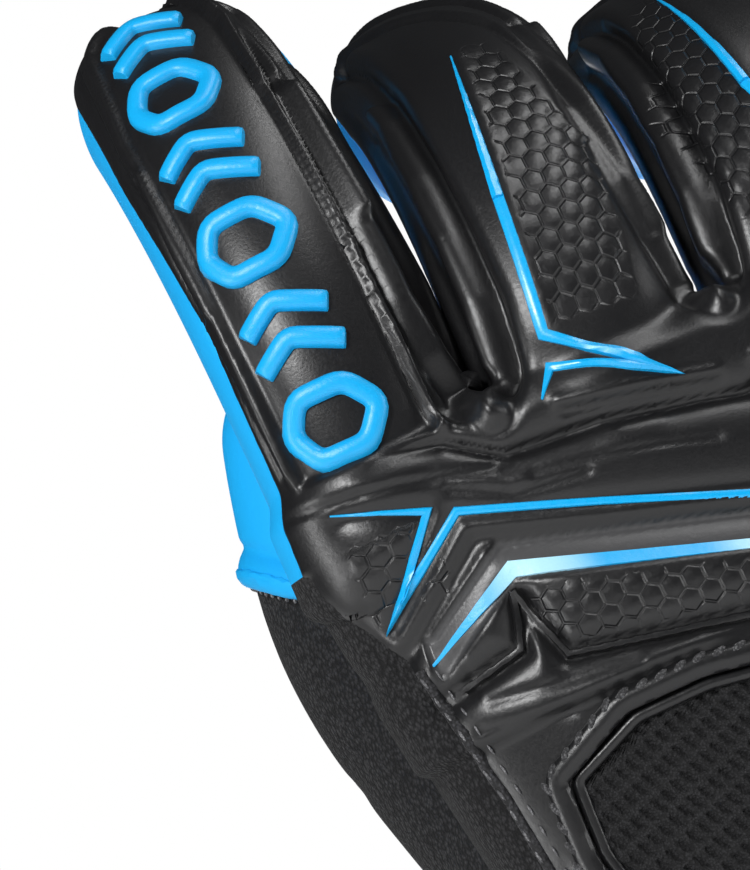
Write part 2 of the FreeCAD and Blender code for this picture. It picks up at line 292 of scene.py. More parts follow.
def averaged(values, ends, count):
    """The mean of the neighbours of every vertex."""
    both = np.r_[ends[:, 0], ends[:, 1]]
    other = np.r_[ends[:, 1], ends[:, 0]]
    number = np.bincount(both, minlength=count)
    columns = [np.bincount(both, weights=values[other, i], minlength=count) for i in range(values.shape[1])]
    return np.stack(columns, -1) / np.maximum(number, 1)[:, None]


def soften(points, ends, weight, rounds):
    for _ in range(rounds):
        points = points + weight[:, None] * (averaged(points, ends, len(points)) - points)
    return points


def distance_to_line(points, line, closed=False):
    """Distance to a polyline, and how far along it the nearest place lies."""
    line = np.asarray(line, float)
    if closed:
        line = np.vstack([line, line[:1]])
    best = np.full(len(points), 1e9)
    place = np.zeros(len(points))
    travelled = 0.0
    for start, end in zip(line[:-1], line[1:]):
        way = end - start
        length = np.linalg.norm(way)
        if length < 1e-9:
            continue
        share = np.clip((points - start) @ way / length ** 2, 0, 1)
        gap = np.linalg.norm(points - start - share[:, None] * way, axis=1)
        nearer = gap < best
        best = np.where(nearer, gap, best)
        place = np.where(nearer, travelled + share * length, place)
        travelled += length
    return best, place


ends = edge_ends(skin)
points = points_of(skin)
WEBS = [((-29.0, -9.0, 178.5), (-29.0, 9.0, 178.5)), ((2.0, -9.0, 179.5), (2.0, 9.0, 179.5)),
        ((31.7, -9.0, 177.0), (31.7, 9.0, 177.0))]
near_web = np.min([distance_to_line(points, web)[0] for web in WEBS], axis=0)
near_thumb_root = np.linalg.norm(points - np.array([-36.0, 26.0, 122.0]), axis=1)
weight = 0.5 * np.ones(len(points))
points = soften(points, ends, weight, 6)
weight = 0.6 * np.clip(1.3 - near_web / 9, 0, 1) + 0.6 * np.clip(1.4 - near_thumb_root / 18, 0, 1)
knuckles = np.clip(1 - np.abs(points[:, 2] - 178) / 12, 0, 1)
weight = np.clip(weight + 0.5 * knuckles, 0, 0.6)
points = soften(points, ends, weight, int(90 * (0.5 / VOXEL) ** 2))
move_points(skin, points)

# %% [markdown]
# The relief is moulded into the foam. Every crease, rib and roll is a line on the skin with a
# profile across it, so the skin's points are moved along their normals by a sum of such profiles.
# Finger lines are given as (s, q): s runs along the finger, q across its back in millimetres.
# Lines on the back of the hand are given as (x, z), for the left half, and mirrored.

# %% Where each point of the skin lies
def vertex_normals(piece):
    flat = np.empty(len(piece.data.vertices) * 3)
    piece.data.vertices.foreach_get("normal", flat)
    return flat.reshape(-1, 3)


FINGER_NAMES = list(FINGERS)
WEB_X = np.array([-29.0, 2.0, 31.7])
PANEL_SPLIT = 170.0          # hand panels below this height, finger panels above it
MID_SPLIT = 18.0             # each finger's panels are cut again here, between its two joints

finger_s = {}
finger_q = {}
finger_h = {}
for name, finger in FINGERS.items():
    s, x, h = finger_coordinates(finger, points)
    finger_s[name] = s
    finger_h[name] = h
    finger_q[name] = (math.pi / 2 - np.arctan2(h, x)) * finger["width"] / 2
    finger_q[name][finger_q[name] > math.pi * finger["width"] / 2] -= math.pi * finger["width"]

thumb_gap = np.full(len(points), 99.0)
thumb_s = np.zeros(len(points))
could_be_thumb = (points[:, 1] > 8) & (points[:, 0] < -8) & (points[:, 2] > 80) & (points[:, 2] < 210)
gap, along = distance_to_line(points[could_be_thumb], THUMB[::3])
thumb_gap[could_be_thumb] = gap
thumb_s[could_be_thumb] = along
thumb_half = np.interp(thumb_s / THUMB_LENGTH * 3, np.arange(4), THUMB_HALF)
# the thumb begins where its tube stands out of the palm
on_thumb = could_be_thumb & (thumb_gap < thumb_half + 3.0) & (points[:, 1] > 17.0)
thumb_centre, _, thumb_side_way, thumb_back_way, _ = thumb_place(thumb_s)
thumb_up = np.einsum("ij,ij->i", points - thumb_centre, thumb_back_way)
thumb_across = np.einsum("ij,ij->i", points - thumb_centre, thumb_side_way)
thumb_angle = np.degrees(np.arctan2(thumb_up, thumb_across)) % 360

# the finger that a point belongs to, by the gap to each middle line
finger_gap = []
for name, finger in FINGERS.items():
    s, h = finger_s[name], finger_h[name]
    _, x, _ = finger_coordinates(finger, points)
    beyond = np.clip(s - finger["length"] + 6, 0, None) + np.clip(-12 - s, 0, None)
    finger_gap.append(np.sqrt(x ** 2 + h ** 2 + beyond ** 2))
nearest_finger = np.argmin(finger_gap, axis=0)
low = points[:, 2] < 183
nearest_finger[low] = np.searchsorted(WEB_X, points[low, 0])
on_finger = (points[:, 2] > PANEL_SPLIT) & ~on_thumb
on_back = points[:, 1] < 0
print("thumb points", int(on_thumb.sum()), "finger points", int(on_finger.sum()))


# %% Profiles across a line
def bump(distance, width):
    return np.exp(-(distance / width) ** 2)


def rounded_edge(distance, width):
    return 1 - np.exp(-np.clip(distance, 0, None) / width)


def line_2d(across, up, route):
    """Distance in a flat map from every point to a route."""
    flat = np.stack([across, up, 0 * up], -1)
    return distance_to_line(flat, [(a, b, 0.0) for a, b in route])[0]


def fade(value, start, full):
    """0 at start, 1 at full, smooth between them."""
    t = np.clip((value - start) / (full - start), 0, 1)
    return t * t * (3 - 2 * t)


height = np.zeros(len(points))
honeycomb = np.zeros(len(points))

# %% Index finger: a sunk panel between two crisp ribs, folds beside it, a roll along its edge
def own(name, from_s=-9.0):
    number = FINGER_NAMES.index(name)
    return (nearest_finger == number) & (finger_s[name] > from_s) & ~on_thumb & (points[:, 2] > 168)


INDEX_RIB = [(74, 5.0), (61, 8.2), (40, 8.5), (2, 8.5)]
INDEX_RIB_2 = [(70, 7.6), (62, 9.2), (52, 10.6), (40, 11.2), (28, 11.6)]
INDEX_EDGE = [(74, -4.5), (66, -9.4), (49, -11.6), (20, -11.6), (3, -11.0)]
INDEX_FOLDS = [[(66, -12.0), (46, -14.0), (24, -13.2)], [(44, -12.6), (22, -14.2), (4, -12.6)]]
INDEX_TIP_FOLDS = [[(72, 1.0), (66, 11.5), (55, 13.8), (40, 14.6)],
                   [(74, 5.0), (68, 14.0), (58, 16.5), (40, 17.4)]]


def along_finger(name, route):
    """Distance to a route of (s, q) pairs on one finger."""
    return line_2d(finger_q[name], finger_s[name], [(q, s) for s, q in route])


def route_at(values, route):
    """The second number of a route's pairs, at each value of the first."""
    rising = sorted(route)
    return np.interp(values, [pair[0] for pair in rising], [pair[1] for pair in rising])


mine = own("index")
s, q = finger_s["index"], finger_q["index"]
rib_at = route_at(s, INDEX_RIB)
edge_at = route_at(s, INDEX_EDGE)
inside_panel = fade(q, edge_at, edge_at + 1.0) * fade(-q, -rib_at, -rib_at + 0.8)
inside_panel *= fade(s, 1.8, 2.6) * fade(-s, -75, -72)
height += mine * (-0.8 * inside_panel)
height += mine * 1.15 * bump(along_finger("index", INDEX_RIB), 0.55)
height += mine * 1.2 * bump(along_finger("index", INDEX_RIB_2), 0.9)
height += mine * 0.7 * bump(along_finger("index", INDEX_EDGE), 0.9)
height -= mine * 0.7 * bump(along_finger("index", [(s0, q0 + 1.3) for s0, q0 in INDEX_RIB]), 0.6)
for fold in INDEX_FOLDS:
    height -= mine * 0.6 * bump(along_finger("index", fold), 0.5)
    height += mine * 0.4 * bump(along_finger("index", [(s0, q0 + 1.0) for s0, q0 in fold]), 0.6)
low_tip = mine * fade(-s, -75, -69) * fade(s, 40, 50)
for fold in INDEX_TIP_FOLDS:
    height -= low_tip * 0.8 * bump(along_finger("index", fold), 0.6)
    height += low_tip * 0.5 * bump(along_finger("index", [(s0, q0 + 1.5) for s0, q0 in fold]), 1.0)
# the foam of its side stands out towards the middle finger
side_roll = np.interp(s, [-4, 4, 20, 40, 60, 72], [0.6, 2.4, 2.7, 2.0, 1.2, 0.0])
height += mine * side_roll * bump(q - 20.5, 5.5)
height -= mine * 0.6 * bump(q - 16.0, 0.9) * fade(s, 8, 16) * fade(-s, -64, -52)

# %% Middle, ring and little finger: a roll and a deep groove at each edge, a rib beside the inlay
MIDDLE_INLAY = [(39.5, -1.1), (18.5, -4.1), (3.6, -6.0)]
RING_INLAY = [(39.0, -3.0), (20.0, -0.2), (4.5, 3.4)]
ROLL_FINGERS = {"middle": (-1, MIDDLE_INLAY), "ring": (1, RING_INLAY), "little": (1, None)}
# folds that run from the left of the fingertip over its top and down its right side, given as
# shares of the finger's length and as q
TIP_FOLDS = [[(0.80, -13.5), (0.71, -6.5), (0.65, 0.0), (0.57, 5.5), (0.44, 9.0), (0.30, 10.8), (0.13, 12.2)],
             [(0.87, -10.0), (0.78, -2.0), (0.70, 5.5), (0.60, 10.0), (0.46, 12.8), (0.30, 14.2)],
             [(0.92, -5.0), (0.84, 4.0), (0.75, 10.5), (0.62, 14.5), (0.46, 17.0)]]
for name, (way, inlay) in ROLL_FINGERS.items():
    mine = own(name)
    s, q = finger_s[name], finger_q[name]
    length = FINGERS[name]["length"]
    size = FINGERS[name]["width"] / 27.5
    left_groove = [(0.79 * length, -13.2 * size), (0.65 * length, -11.8 * size),
                   (0.46 * length, -11.2 * size), (0.31 * length, -10.8 * size),
                   (0.1 * length, -10.6 * size), (-1, -12.2 * size)]
    height -= mine * 1.4 * bump(along_finger(name, left_groove), 1.0)
    height += mine * 0.5 * bump(along_finger(name, [(s0, q0 + 2.6) for s0, q0 in left_groove]), 1.4)
    for number, fold in enumerate(TIP_FOLDS):
        line = [(share * length, q0 * size) for share, q0 in fold]
        outside = [(s0 + 0.9, q0 + 1.2) for s0, q0 in line]
        height -= mine * (0.55 + 0.15 * number) * bump(along_finger(name, line), 0.55)
        height += mine * (0.55 + 0.2 * number) * bump(along_finger(name, outside), 1.0)
    near_web = np.interp(s, [-3, 4, 18, 40, 55], [0.4, 1.3, 1.2, 0.6, 0.0])
    height += mine * near_web * bump(q + 20.5 * size, 4.5)
    beside_web = fade(s, 2, 8) * fade(-s, -length * 0.75, -length * 0.6)
    height -= mine * 0.7 * bump(q + 17.4 * size, 0.8) * beside_web
    if inlay:
        height += mine * 0.45 * bump(along_finger(name, inlay), 2.6)
        inlay_at = route_at(s, inlay)
        right = q - inlay_at if way < 0 else inlay_at - q
        far_side = np.interp(s, [4, 20, 40], [12.5, 13.5, 5.0])
        pad = fade(right, 1.0, 1.5) * fade(s, 3.0, 5.0) * fade(-s, -42, -37) * fade(far_side - right, 0, 1.2)
        honeycomb = np.maximum(honeycomb, mine * pad)
        height -= mine * 0.3 * pad

# %% Back of the hand: pillows between creases, honeycomb fields, flat band
STAR_LINE = [(-50.5, 173.8), (-41.5, 170.4), (-50.0, 159.5), (-38.5, 168.8), (-22.0, 162.8), (0.0, 155.5)]
BAND_LINE = [(-47.0, 152.5), (-35.5, 159.5), (-21.7, 155.2), (0.0, 148.5)]
BAND_TOP = [(-50.5, 155.5), (-37.5, 164.8), (-22.0, 159.4), (0.0, 152.2)]
RIBS = [[(-36.0, 156.0), (-38.3, 150.6), (-49.0, 148.6)],
        [(-36.0, 156.0), (-33.5, 147.7), (-22.5, 145.1), (-11.6, 142.8), (0.0, 140.0)]]
KNUCKLE_CREASE = [(-44.0, 179.5), (-36.2, 177.4), (-30.0, 172.8), (-17.7, 171.6), (-5.6, 169.1), (0.0, 167.6)]
INDEX_PILLOW = [(-55.5, 177.0), (-44.0, 175.2), (-31.5, 171.8)]
KNUCKLE_BAR = [(-21.5, 175.9), (-12.0, 173.8), (-2.6, 171.4)]
BAR_SHADE = [(-21.5, 174.5), (-12.0, 172.4), (-2.6, 170.0)]
WRINKLES = [[(-44, 146.5), (-34, 144.6), (-26, 143.6)], [(-46, 143.6), (-36, 141.4)],
            [(-38, 171.9), (-31, 168.0), (-22, 166.6)], [(-28, 169.2), (-16, 167.0), (-6, 163.8)]]


back_of_hand = on_back & (points[:, 2] < 184) & (points[:, 2] > 60)
x, z = points[:, 0], points[:, 2]
flat_x = -np.abs(x)


def on_hand(route):
    """Distance on the back of the hand to a route and to its mirror image."""
    result = np.full(len(points), 99.0)
    chosen = back_of_hand & (z > min(p[1] for p in route) - 14)
    result[chosen] = line_2d(flat_x[chosen], z[chosen], route)
    return result


below_knuckles = back_of_hand * fade(-z, -181, -176)
creases = np.min([on_hand(r) for r in RIBS + [STAR_LINE, BAND_TOP, KNUCKLE_CREASE]], axis=0)
above_mesh = fade(z, 141, 143)
height += below_knuckles * above_mesh * 1.7 * rounded_edge(creases - 0.4, 2.4)
height -= below_knuckles * 0.9 * bump(on_hand(KNUCKLE_CREASE), 0.7)
height -= below_knuckles * 0.5 * bump(on_hand(INDEX_PILLOW), 0.6)
for rib in RIBS:
    height -= below_knuckles * 0.8 * bump(on_hand(rib), 1.4)
    height += below_knuckles * 0.7 * bump(on_hand(rib), 0.45)
height += below_knuckles * 0.45 * bump(on_hand(STAR_LINE), 2.4)
height += below_knuckles * 0.6 * bump(on_hand(KNUCKLE_BAR), 0.7)
height -= below_knuckles * 0.5 * bump(on_hand(BAR_SHADE), 0.5)
for wrinkle in WRINKLES:
    height -= below_knuckles * 0.35 * bump(on_hand(wrinkle), 0.6)

band_z = route_at(flat_x, BAND_LINE)
rib_z = route_at(flat_x, RIBS[1][1:])
flat_band = fade(z, band_z - 1.5, band_z - 0.5) * fade(-z, -(band_z + 4.2), -(band_z + 3.6))
height -= below_knuckles * (flat_x > -48) * 0.9 * flat_band
field = (flat_x > -34.5) * fade(z, rib_z + 1.6, rib_z + 2.2) * fade(-z, -(band_z - 2.4), -(band_z - 3.0))
honeycomb = np.maximum(honeycomb, below_knuckles * field * fade(flat_x, -35, -33.5))
corner = fade(z, 160.5, 161.5) * fade(-z, -170.8, -170.0) * fade(-flat_x, 41.6, 42.6) * fade(flat_x, -52, -51)
honeycomb = np.maximum(honeycomb, below_knuckles * corner * fade(on_hand(STAR_LINE), 1.0, 1.6))

# %% Webs: a rolled welt that runs from one finger's edge roll round into the next
def finger_places(name, route):
    """Places on a finger's form, from (s, q) pairs."""
    s0 = np.array([p[0] for p in route], float)
    q0 = np.array([p[1] for p in route], float)
    return finger_point(FINGERS[name], s0, 90 - np.degrees(q0 / (FINGERS[name]["width"] / 2)))


for left, right, web_x, web_z in (("index", "middle", -29.3, 178.4), ("middle", "ring", 2.0, 179.4),
                                  ("ring", "little", 31.7, 176.6)):
    down = finger_places(left, [(46, 10.8), (28, 11.6), (17, 12.0), (10, 13.4), (4, 15.6)])
    up = finger_places(right, [(3, -14.6), (10, -13.8), (18, -13.6), (27, -13.7), (38, -13.5), (50, -13.8)])
    low_point = np.array([[web_x, -13.2, web_z]])
    welt = np.vstack([down, low_point, up])
    close = np.min(np.linalg.norm(points[:, None] - welt[None, ::3], axis=2), axis=1) < 16
    gap = np.full(len(points), 99.0)
    gap[close] = distance_to_line(points[close], welt)[0]
    height += 1.5 * bump(gap, 1.5)
    height -= 0.5 * bump(gap - 2.8, 0.9)

# %% Palm and textile sides: a few soft folds
palm_side = (points[:, 1] > 6) & ~on_thumb & (z < 172)
for fold_z, lean in ((150, 0.1), (128, -0.25), (104, -0.5)):
    height -= palm_side * 0.6 * bump(z - fold_z - lean * x, 1.6)
knit_side_area = (x < -40) & (points[:, 1] > -12) & (z > 66) & (z < 172)
for fold_z, lean in ((156, 0.5), (118, -0.3)):
    height -= knit_side_area * 0.35 * bump(z - fold_z - lean * points[:, 1], 2.4)

# %% [markdown]
# The panels overlap in real life: the black back laps over the blue latex with a soft edge, and
# the knit sides lie lower. So the height steps at each panel edge before the skin is cut there.

# %% Panel edges
BACK_EDGE = np.array([(60, 37.0), (66, 37.8), (80, 39.5), (105, 44.0), (125, 46.6), (136, 47.4),
                      (149, 49.3), (157, 51.2), (166.5, 55.4), (178, 57.5)])
EDGE_LEFT = {"index": [(-10, -15.0), (24, -14.6), (46, -17.0), (64, -16.2), (77, -15.0)],
             "middle": [(-10, -21.0), (56, -21.0), (70, -17.5), (80, -17)],
             "ring": [(-10, -21.0), (54, -21.0), (66, -18), (76, -17)],
             "little": [(-10, -19.0), (63, -19.0)]}
EDGE_RIGHT = {"index": [(-10, 21.5), (42, 21.0), (50, 20.0), (58, 17.4), (66, 14.2), (77, 11.0)],
              "middle": [(-10, 21.5), (56, 21.0), (66, 15.5), (80, 14)],
              "ring": [(-10, 21.0), (54, 21.0), (66, 16), (76, 15)],
              "little": [(-10, 19.0), (63, 19.0)]}
PALM_EDGE = 8.0              # the palm latex starts this far behind the middle plane

back_field = np.full(len(points), -9.0)
for number, name in enumerate(FINGER_NAMES):
    mine = on_finger & (nearest_finger == number)
    s, q = finger_s[name], finger_q[name]
    left = route_at(s, EDGE_LEFT[name])
    right = route_at(s, EDGE_RIGHT[name])
    back_field[mine] = np.minimum(q - left, right - q)[mine]
hand_part = ~on_finger & ~on_thumb
edge_x = np.interp(z, BACK_EDGE[:, 0], BACK_EDGE[:, 1])
hand_field = np.minimum(edge_x - np.abs(x), -3.0 - points[:, 1])
back_field[hand_part] = hand_field[hand_part]

height += np.where(on_finger | hand_part, 0.55 * rounded_edge(back_field, 0.45) - 0.25, 0.0)
THUMB_MID_SPLIT = 60.0


def above_hem(places):
    """How far places lie above the hem of the thumb's cap, a plane that slants round the thumb."""
    across, depth, rise = places[:, 0], places[:, 1], places[:, 2]
    return (rise - 167.5 + 0.736 * (across + 46.4) - 0.21 * (depth - 42.0)) / 1.26


hem_field = above_hem(points)
hem_roll = 1.1 * bump(hem_field - 1.6, 1.7) - 0.5 * bump(hem_field - 4.2, 0.7)
height += on_thumb * np.where(hem_field > 0, 0.5 + hem_roll, -0.1)
knit_crease = on_thumb & (hem_field < 0)
for fold_s, lean in ((70, 0.2), (52, 0.3)):
    height -= knit_crease * 0.3 * bump(thumb_s - fold_s - lean * thumb_across, 2.2)

window_x = np.interp(z, [76, 124, 134, 138.5], [30, 40.5, 40, 30])
window_top = np.interp(np.abs(x), [0, 20, 30, 40], [135, 138.5, 138.5, 134])
window_field = np.minimum(window_x - np.abs(x), np.minimum(z - 76, window_top - z))
window_field = np.where(back_of_hand, window_field, -9.0)
height -= 0.9 * fade(window_field, -0.6, 0.8)

# %% Honeycomb: low cells, in the flat coordinates of the hand and of each finger
flow_u = np.where(on_finger, 0.0, x)
flow_v = np.where(on_finger, 0.0, z)
for number, name in enumerate(FINGER_NAMES):
    mine = on_finger & (nearest_finger == number)
    flow_u[mine] = finger_q[name][mine]
    flow_v[mine] = finger_s[name][mine]
flow_u[on_thumb] = (thumb_angle / 57.3 * 14)[on_thumb]
flow_v[on_thumb] = thumb_s[on_thumb]
HEX_WIDTH = 2.7
ROOT_3 = math.sqrt(3)


def hexagon_distance(u, v):
    """0 in the middle of a cell, 0.5 on its border."""
    best = np.full(len(u), 9.0)
    for shift in (0.0, 0.5):
        across = np.abs((u / HEX_WIDTH + shift) % 1.0 - 0.5)
        along = np.abs((v / (HEX_WIDTH * ROOT_3) + shift) % 1.0 - 0.5) * ROOT_3
        best = np.minimum(best, np.maximum(across, 0.5 * across + 0.5 * ROOT_3 * along))
    return best


height += 0.16 * honeycomb * fade(-hexagon_distance(flow_u, flow_v), -0.5, -0.22)

# %% Panel of every face
face_count = len(skin.data.polygons)
quads = np.empty(face_count * 4, int)
skin.data.polygons.foreach_get("vertices", quads)
quads = quads.reshape(-1, 4)


def on_faces(values):
    return values[quads].mean(axis=1)


PANELS = ["backhand_panel", "palm_latex", "thumb_side_gusset", "outer_side_gusset"]
PANELS += [name + "_back_base" for name in FINGER_NAMES]
PANELS += [name + "_back_tip" for name in FINGER_NAMES]
PANELS += [name + "_latex_base" for name in FINGER_NAMES]
PANELS += [name + "_latex_tip" for name in FINGER_NAMES]
PANELS += ["thumb_root_gusset", "thumb_back", "thumb_root_latex", "thumb_latex", "thumb_cap",
           "mesh_panel", "offcut"]
NUMBER = {name: number for number, name in enumerate(PANELS)}
HAND_END = 63.0              # what lies lower is covered by the bandage and is cut off
panel = np.full(face_count, NUMBER["backhand_panel"])
face_z = on_faces(z)
face_y = on_faces(points[:, 1])
face_back = on_faces(back_field) > 0
face_thumb = on_faces(on_thumb.astype(float)) > 0.5
face_finger = nearest_finger[quads[:, 0]]
hand_faces = ~face_thumb & (face_z <= PANEL_SPLIT)
beside_back = hand_faces & ~face_back & (face_y <= PALM_EDGE)
panel[hand_faces & ~face_back & (face_y > PALM_EDGE)] = NUMBER["palm_latex"]
panel[beside_back & (on_faces(x) < 0)] = NUMBER["thumb_side_gusset"]
panel[beside_back & (on_faces(x) > 0)] = NUMBER["outer_side_gusset"]
finger_faces = ~face_thumb & (face_z > PANEL_SPLIT)
for number, name in enumerate(FINGER_NAMES):
    mine = finger_faces & (face_finger == number)
    for half, here in (("_base", mine & (on_faces(finger_s[name]) <= MID_SPLIT)),
                       ("_tip", mine & (on_faces(finger_s[name]) > MID_SPLIT))):
        panel[here & face_back] = NUMBER[name + "_back" + half]
        panel[here & ~face_back] = NUMBER[name + "_latex" + half]
face_s = on_faces(thumb_s)
# the thumb's black textile covers its back and its outer side
knit_side = on_faces(np.cos(np.radians(thumb_angle - 90))) > -0.35
face_hem = on_faces(hem_field)
high_thumb = face_s > THUMB_MID_SPLIT
panel[face_thumb & high_thumb & knit_side] = NUMBER["thumb_back"]
panel[face_thumb & high_thumb & ~knit_side] = NUMBER["thumb_latex"]
panel[face_thumb & ~high_thumb & knit_side] = NUMBER["thumb_root_gusset"]
panel[face_thumb & ~high_thumb & ~knit_side] = NUMBER["thumb_root_latex"]
panel[face_thumb & (face_hem > 0)] = NUMBER["thumb_cap"]
panel[(panel == NUMBER["backhand_panel"]) & (on_faces(window_field) > 0)] = NUMBER["mesh_panel"]
panel[face_z < HAND_END] = NUMBER["offcut"]

# each face takes the panel that is commonest around it, so that no small island of one is left
order = np.sort(np.stack([quads, np.roll(quads, -1, axis=1)], -1).reshape(-1, 2), axis=1)
owner = np.repeat(np.arange(face_count), 4)
keys = order[:, 0].astype(np.int64) * len(points) + order[:, 1]
rank = np.argsort(keys, kind="stable")
same = keys[rank][:-1] == keys[rank][1:]
pair_a = owner[rank][:-1][same]
pair_b = owner[rank][1:][same]
share = np.eye(len(PANELS), dtype=np.float32)[panel]
for _ in range(5):
    for column in range(len(PANELS)):
        ours = share[:, column].copy()
        share[:, column] += np.bincount(pair_a, weights=ours[pair_b], minlength=face_count)
        share[:, column] += np.bincount(pair_b, weights=ours[pair_a], minlength=face_count)
    share /= share.sum(axis=1)[:, None]
panel = share.argmax(axis=1)

# %% The cut lines are evened out, because the remeshed faces would leave them stepped
cut = panel[pair_a] != panel[pair_b]
cut_edges = order[rank][:-1][same][cut]
on_cut = np.bincount(cut_edges.ravel(), minlength=len(points))
movable = on_cut == 2
near_cut = averaged((on_cut > 0).astype(float)[:, None], ends, len(points))[:, 0] > 0


def slide(places, weight, neighbours, rounds):
    """Averages places with their neighbours, but only along the skin."""
    for _ in range(rounds):
        step = weight[:, None] * (averaged(places, neighbours, len(places)) - places)
        places = places + step - normals * np.einsum("ij,ij->i", step, normals)[:, None]
    return places


def height_at(places):
    """The relief's height where each point has slid to, from its own and its neighbours' heights."""
    here = np.r_[ends[:, 0], ends[:, 1]]
    there = np.r_[ends[:, 1], ends[:, 0]]
    own_share = 1 / (np.sum((places - points) ** 2, axis=1) + 0.004)
    share = 1 / (np.sum((places[here] - points[there]) ** 2, axis=1) + 0.004)
    total = own_share * height + np.bincount(here, weights=share * height[there], minlength=len(points))
    return total / (own_share + np.bincount(here, weights=share, minlength=len(points)))


normals = vertex_normals(skin)
slid = slide(points, np.where(movable, 0.5, 0.0), cut_edges, 12)
slid = slide(slid, np.where(near_cut & (on_cut == 0), 0.4, 0.0), ends, 3)

# %% The relief raises the skin
raised = slid + normals * height_at(slid)[:, None]
raised = soften(raised, ends, np.full(len(points), 0.25), 1)
print("relief from", round(float(height.min()), 2), "to", round(float(height.max()), 2), "mm")
move_points(skin, raised)

# %% What the finishes need to know about each point
def keep_on_points(piece, name, values):
    layer = piece.data.attributes.new(name, "FLOAT", "POINT")
    layer.data.foreach_set("value", np.asarray(values, np.float32))


keep_on_points(skin, "flow_u", flow_u)
keep_on_points(skin, "flow_v", flow_v)
keep_on_points(skin, "honeycomb", honeycomb)
# mask of the painted highlight on the flat band, where its colour is lightened
keep_on_points(skin, "satin", below_knuckles * flat_band * (flat_x > -48))
skin_normals = vertex_normals(skin)
layer = skin.data.attributes.new("skin_normal", "FLOAT_VECTOR", "POINT")
layer.data.foreach_set("vector", skin_normals.astype(np.float32).ravel())
# trim follows a slightly smoother skin, so that its edges stay straight over the small relief
smooth_skin = soften(raised, ends, np.full(len(points), 0.5), 10)
surface = BVHTree.FromPolygons((smooth_skin * MM).tolist(), quads.tolist())

# %% Cut the skin into its panels, and give each one its thickness
skin.data.materials.clear()
for name in PANELS:
    skin.data.materials.append(bpy.data.materials.new("cut_" + name))
skin.data.polygons.foreach_set("material_index", panel.astype(np.int32))
only(skin)
bpy.ops.object.mode_set(mode="EDIT")
bpy.ops.mesh.select_all(action="SELECT")
bpy.ops.mesh.separate(type="MATERIAL")
bpy.ops.object.mode_set(mode="OBJECT")
PANEL_THICKNESS = {"thumb_side_gusset": 1.0, "outer_side_gusset": 1.0, "backhand_panel": 1.2}
pieces = {}
for piece in list(bpy.context.selected_objects):
    name = piece.data.materials[0].name.removeprefix("cut_")
    piece.name = name + ("_skin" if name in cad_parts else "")
    piece.data.name = piece.name
    piece.data.materials.clear()
    piece.data.polygons.foreach_set("material_index", np.zeros(len(piece.data.polygons), np.int32))
    pieces[name] = piece
bpy.data.objects.remove(pieces.pop("offcut"))


def keep_skin_shading(piece, outer_faces):
    """Both faces keep the whole skin's shading, so that a seam doesn't show as a shading step."""
    mesh = piece.data
    vectors = np.empty(len(mesh.vertices) * 3, np.float32)
    mesh.attributes["skin_normal"].data.foreach_get("vector", vectors)
    corner_vertex = np.empty(len(mesh.loops), int)
    mesh.loops.foreach_get("vertex_index", corner_vertex)
    corners = vectors.reshape(-1, 3)[corner_vertex]
    corners[outer_faces * 4:outer_faces * 8] *= -1
    corners[outer_faces * 8:] = 0
    mesh.normals_split_custom_set(corners)
    mesh.attributes.remove(mesh.attributes["skin_normal"])


for name, piece in pieces.items():
    outer_faces = len(piece.data.polygons)
    apply_modifier(piece, "SOLIDIFY", thickness=PANEL_THICKNESS.get(name, 1.8) * MM, offset=-1.0)
    only(piece)
    bpy.ops.object.shade_smooth_by_angle(angle=math.radians(50))
    keep_skin_shading(piece, outer_faces)
    print(name, len(piece.data.polygons), "faces")


def thumb_at(s):
    return tuple(thumb_place(np.array([float(s)]))[0][0] * MM)


for name in ("backhand_panel", "palm_latex", "thumb_side_gusset", "outer_side_gusset"):
    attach(pieces[name], "hand")
for name, finger in FINGERS.items():
    for side in ("back", "latex"):
        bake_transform(pieces[name + "_" + side + "_base"])
        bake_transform(pieces[name + "_" + side + "_tip"])
        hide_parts(name + "_" + side + "_lower")
        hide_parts(name + "_" + side + "_upper")
THUMB_BASE_BEND = (thumb_at(40), thumb_at(THUMB_MID_SPLIT - 1))
THUMB_TIP_BEND = (thumb_at(68), thumb_at(87))
for name in ("thumb_root_gusset", "thumb_root_latex"):
    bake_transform(pieces[name])
for name in ("thumb_back", "thumb_latex", "thumb_cap"):
    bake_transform(pieces[name])
for name in ("backhand_panel", "palm_latex", "thumb_side_gusset", "outer_side_gusset", "thumb_root_gusset"):
    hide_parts(name)
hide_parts("thumb_back_lower")
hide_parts("thumb_latex_lower")
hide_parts("thumb_cap")
black_panels = ["backhand_panel"] + [n + "_back_" + h for n in FINGER_NAMES for h in ("base", "tip")]
blue_panels = ["palm_latex", "thumb_root_latex", "thumb_latex", "thumb_cap"]
blue_panels += [n + "_latex_" + h for n in FINGER_NAMES for h in ("base", "tip")]
knit_panels = ["thumb_side_gusset", "outer_side_gusset", "thumb_root_gusset", "thumb_back"]

# %% [markdown]
# Trim lies on the skin: glossy blue inlays with a crest, raised motifs, the welt and the stitches.
# Each is a strip along a route. Every point of it is moved to the nearest place on the skin, and
# lifted by a profile, so that it follows the moulded form below.

# %% Helpers: strips on the skin
def snap(places):
    """The nearest places on the skin, and the normals there, for an array of any shape."""
    flat = np.asarray(places, float).reshape(-1, 3)
    found = np.empty_like(flat)
    facing = np.empty_like(flat)
    for i, place in enumerate(flat):
        spot, normal, _, _ = surface.find_nearest(Vector(place * MM))
        found[i] = np.array(spot) / MM
        facing[i] = normal
    return found.reshape(np.shape(places)), facing.reshape(np.shape(places))


def unit(vectors):
    return vectors / np.maximum(np.linalg.norm(vectors, axis=-1, keepdims=True), 1e-9)


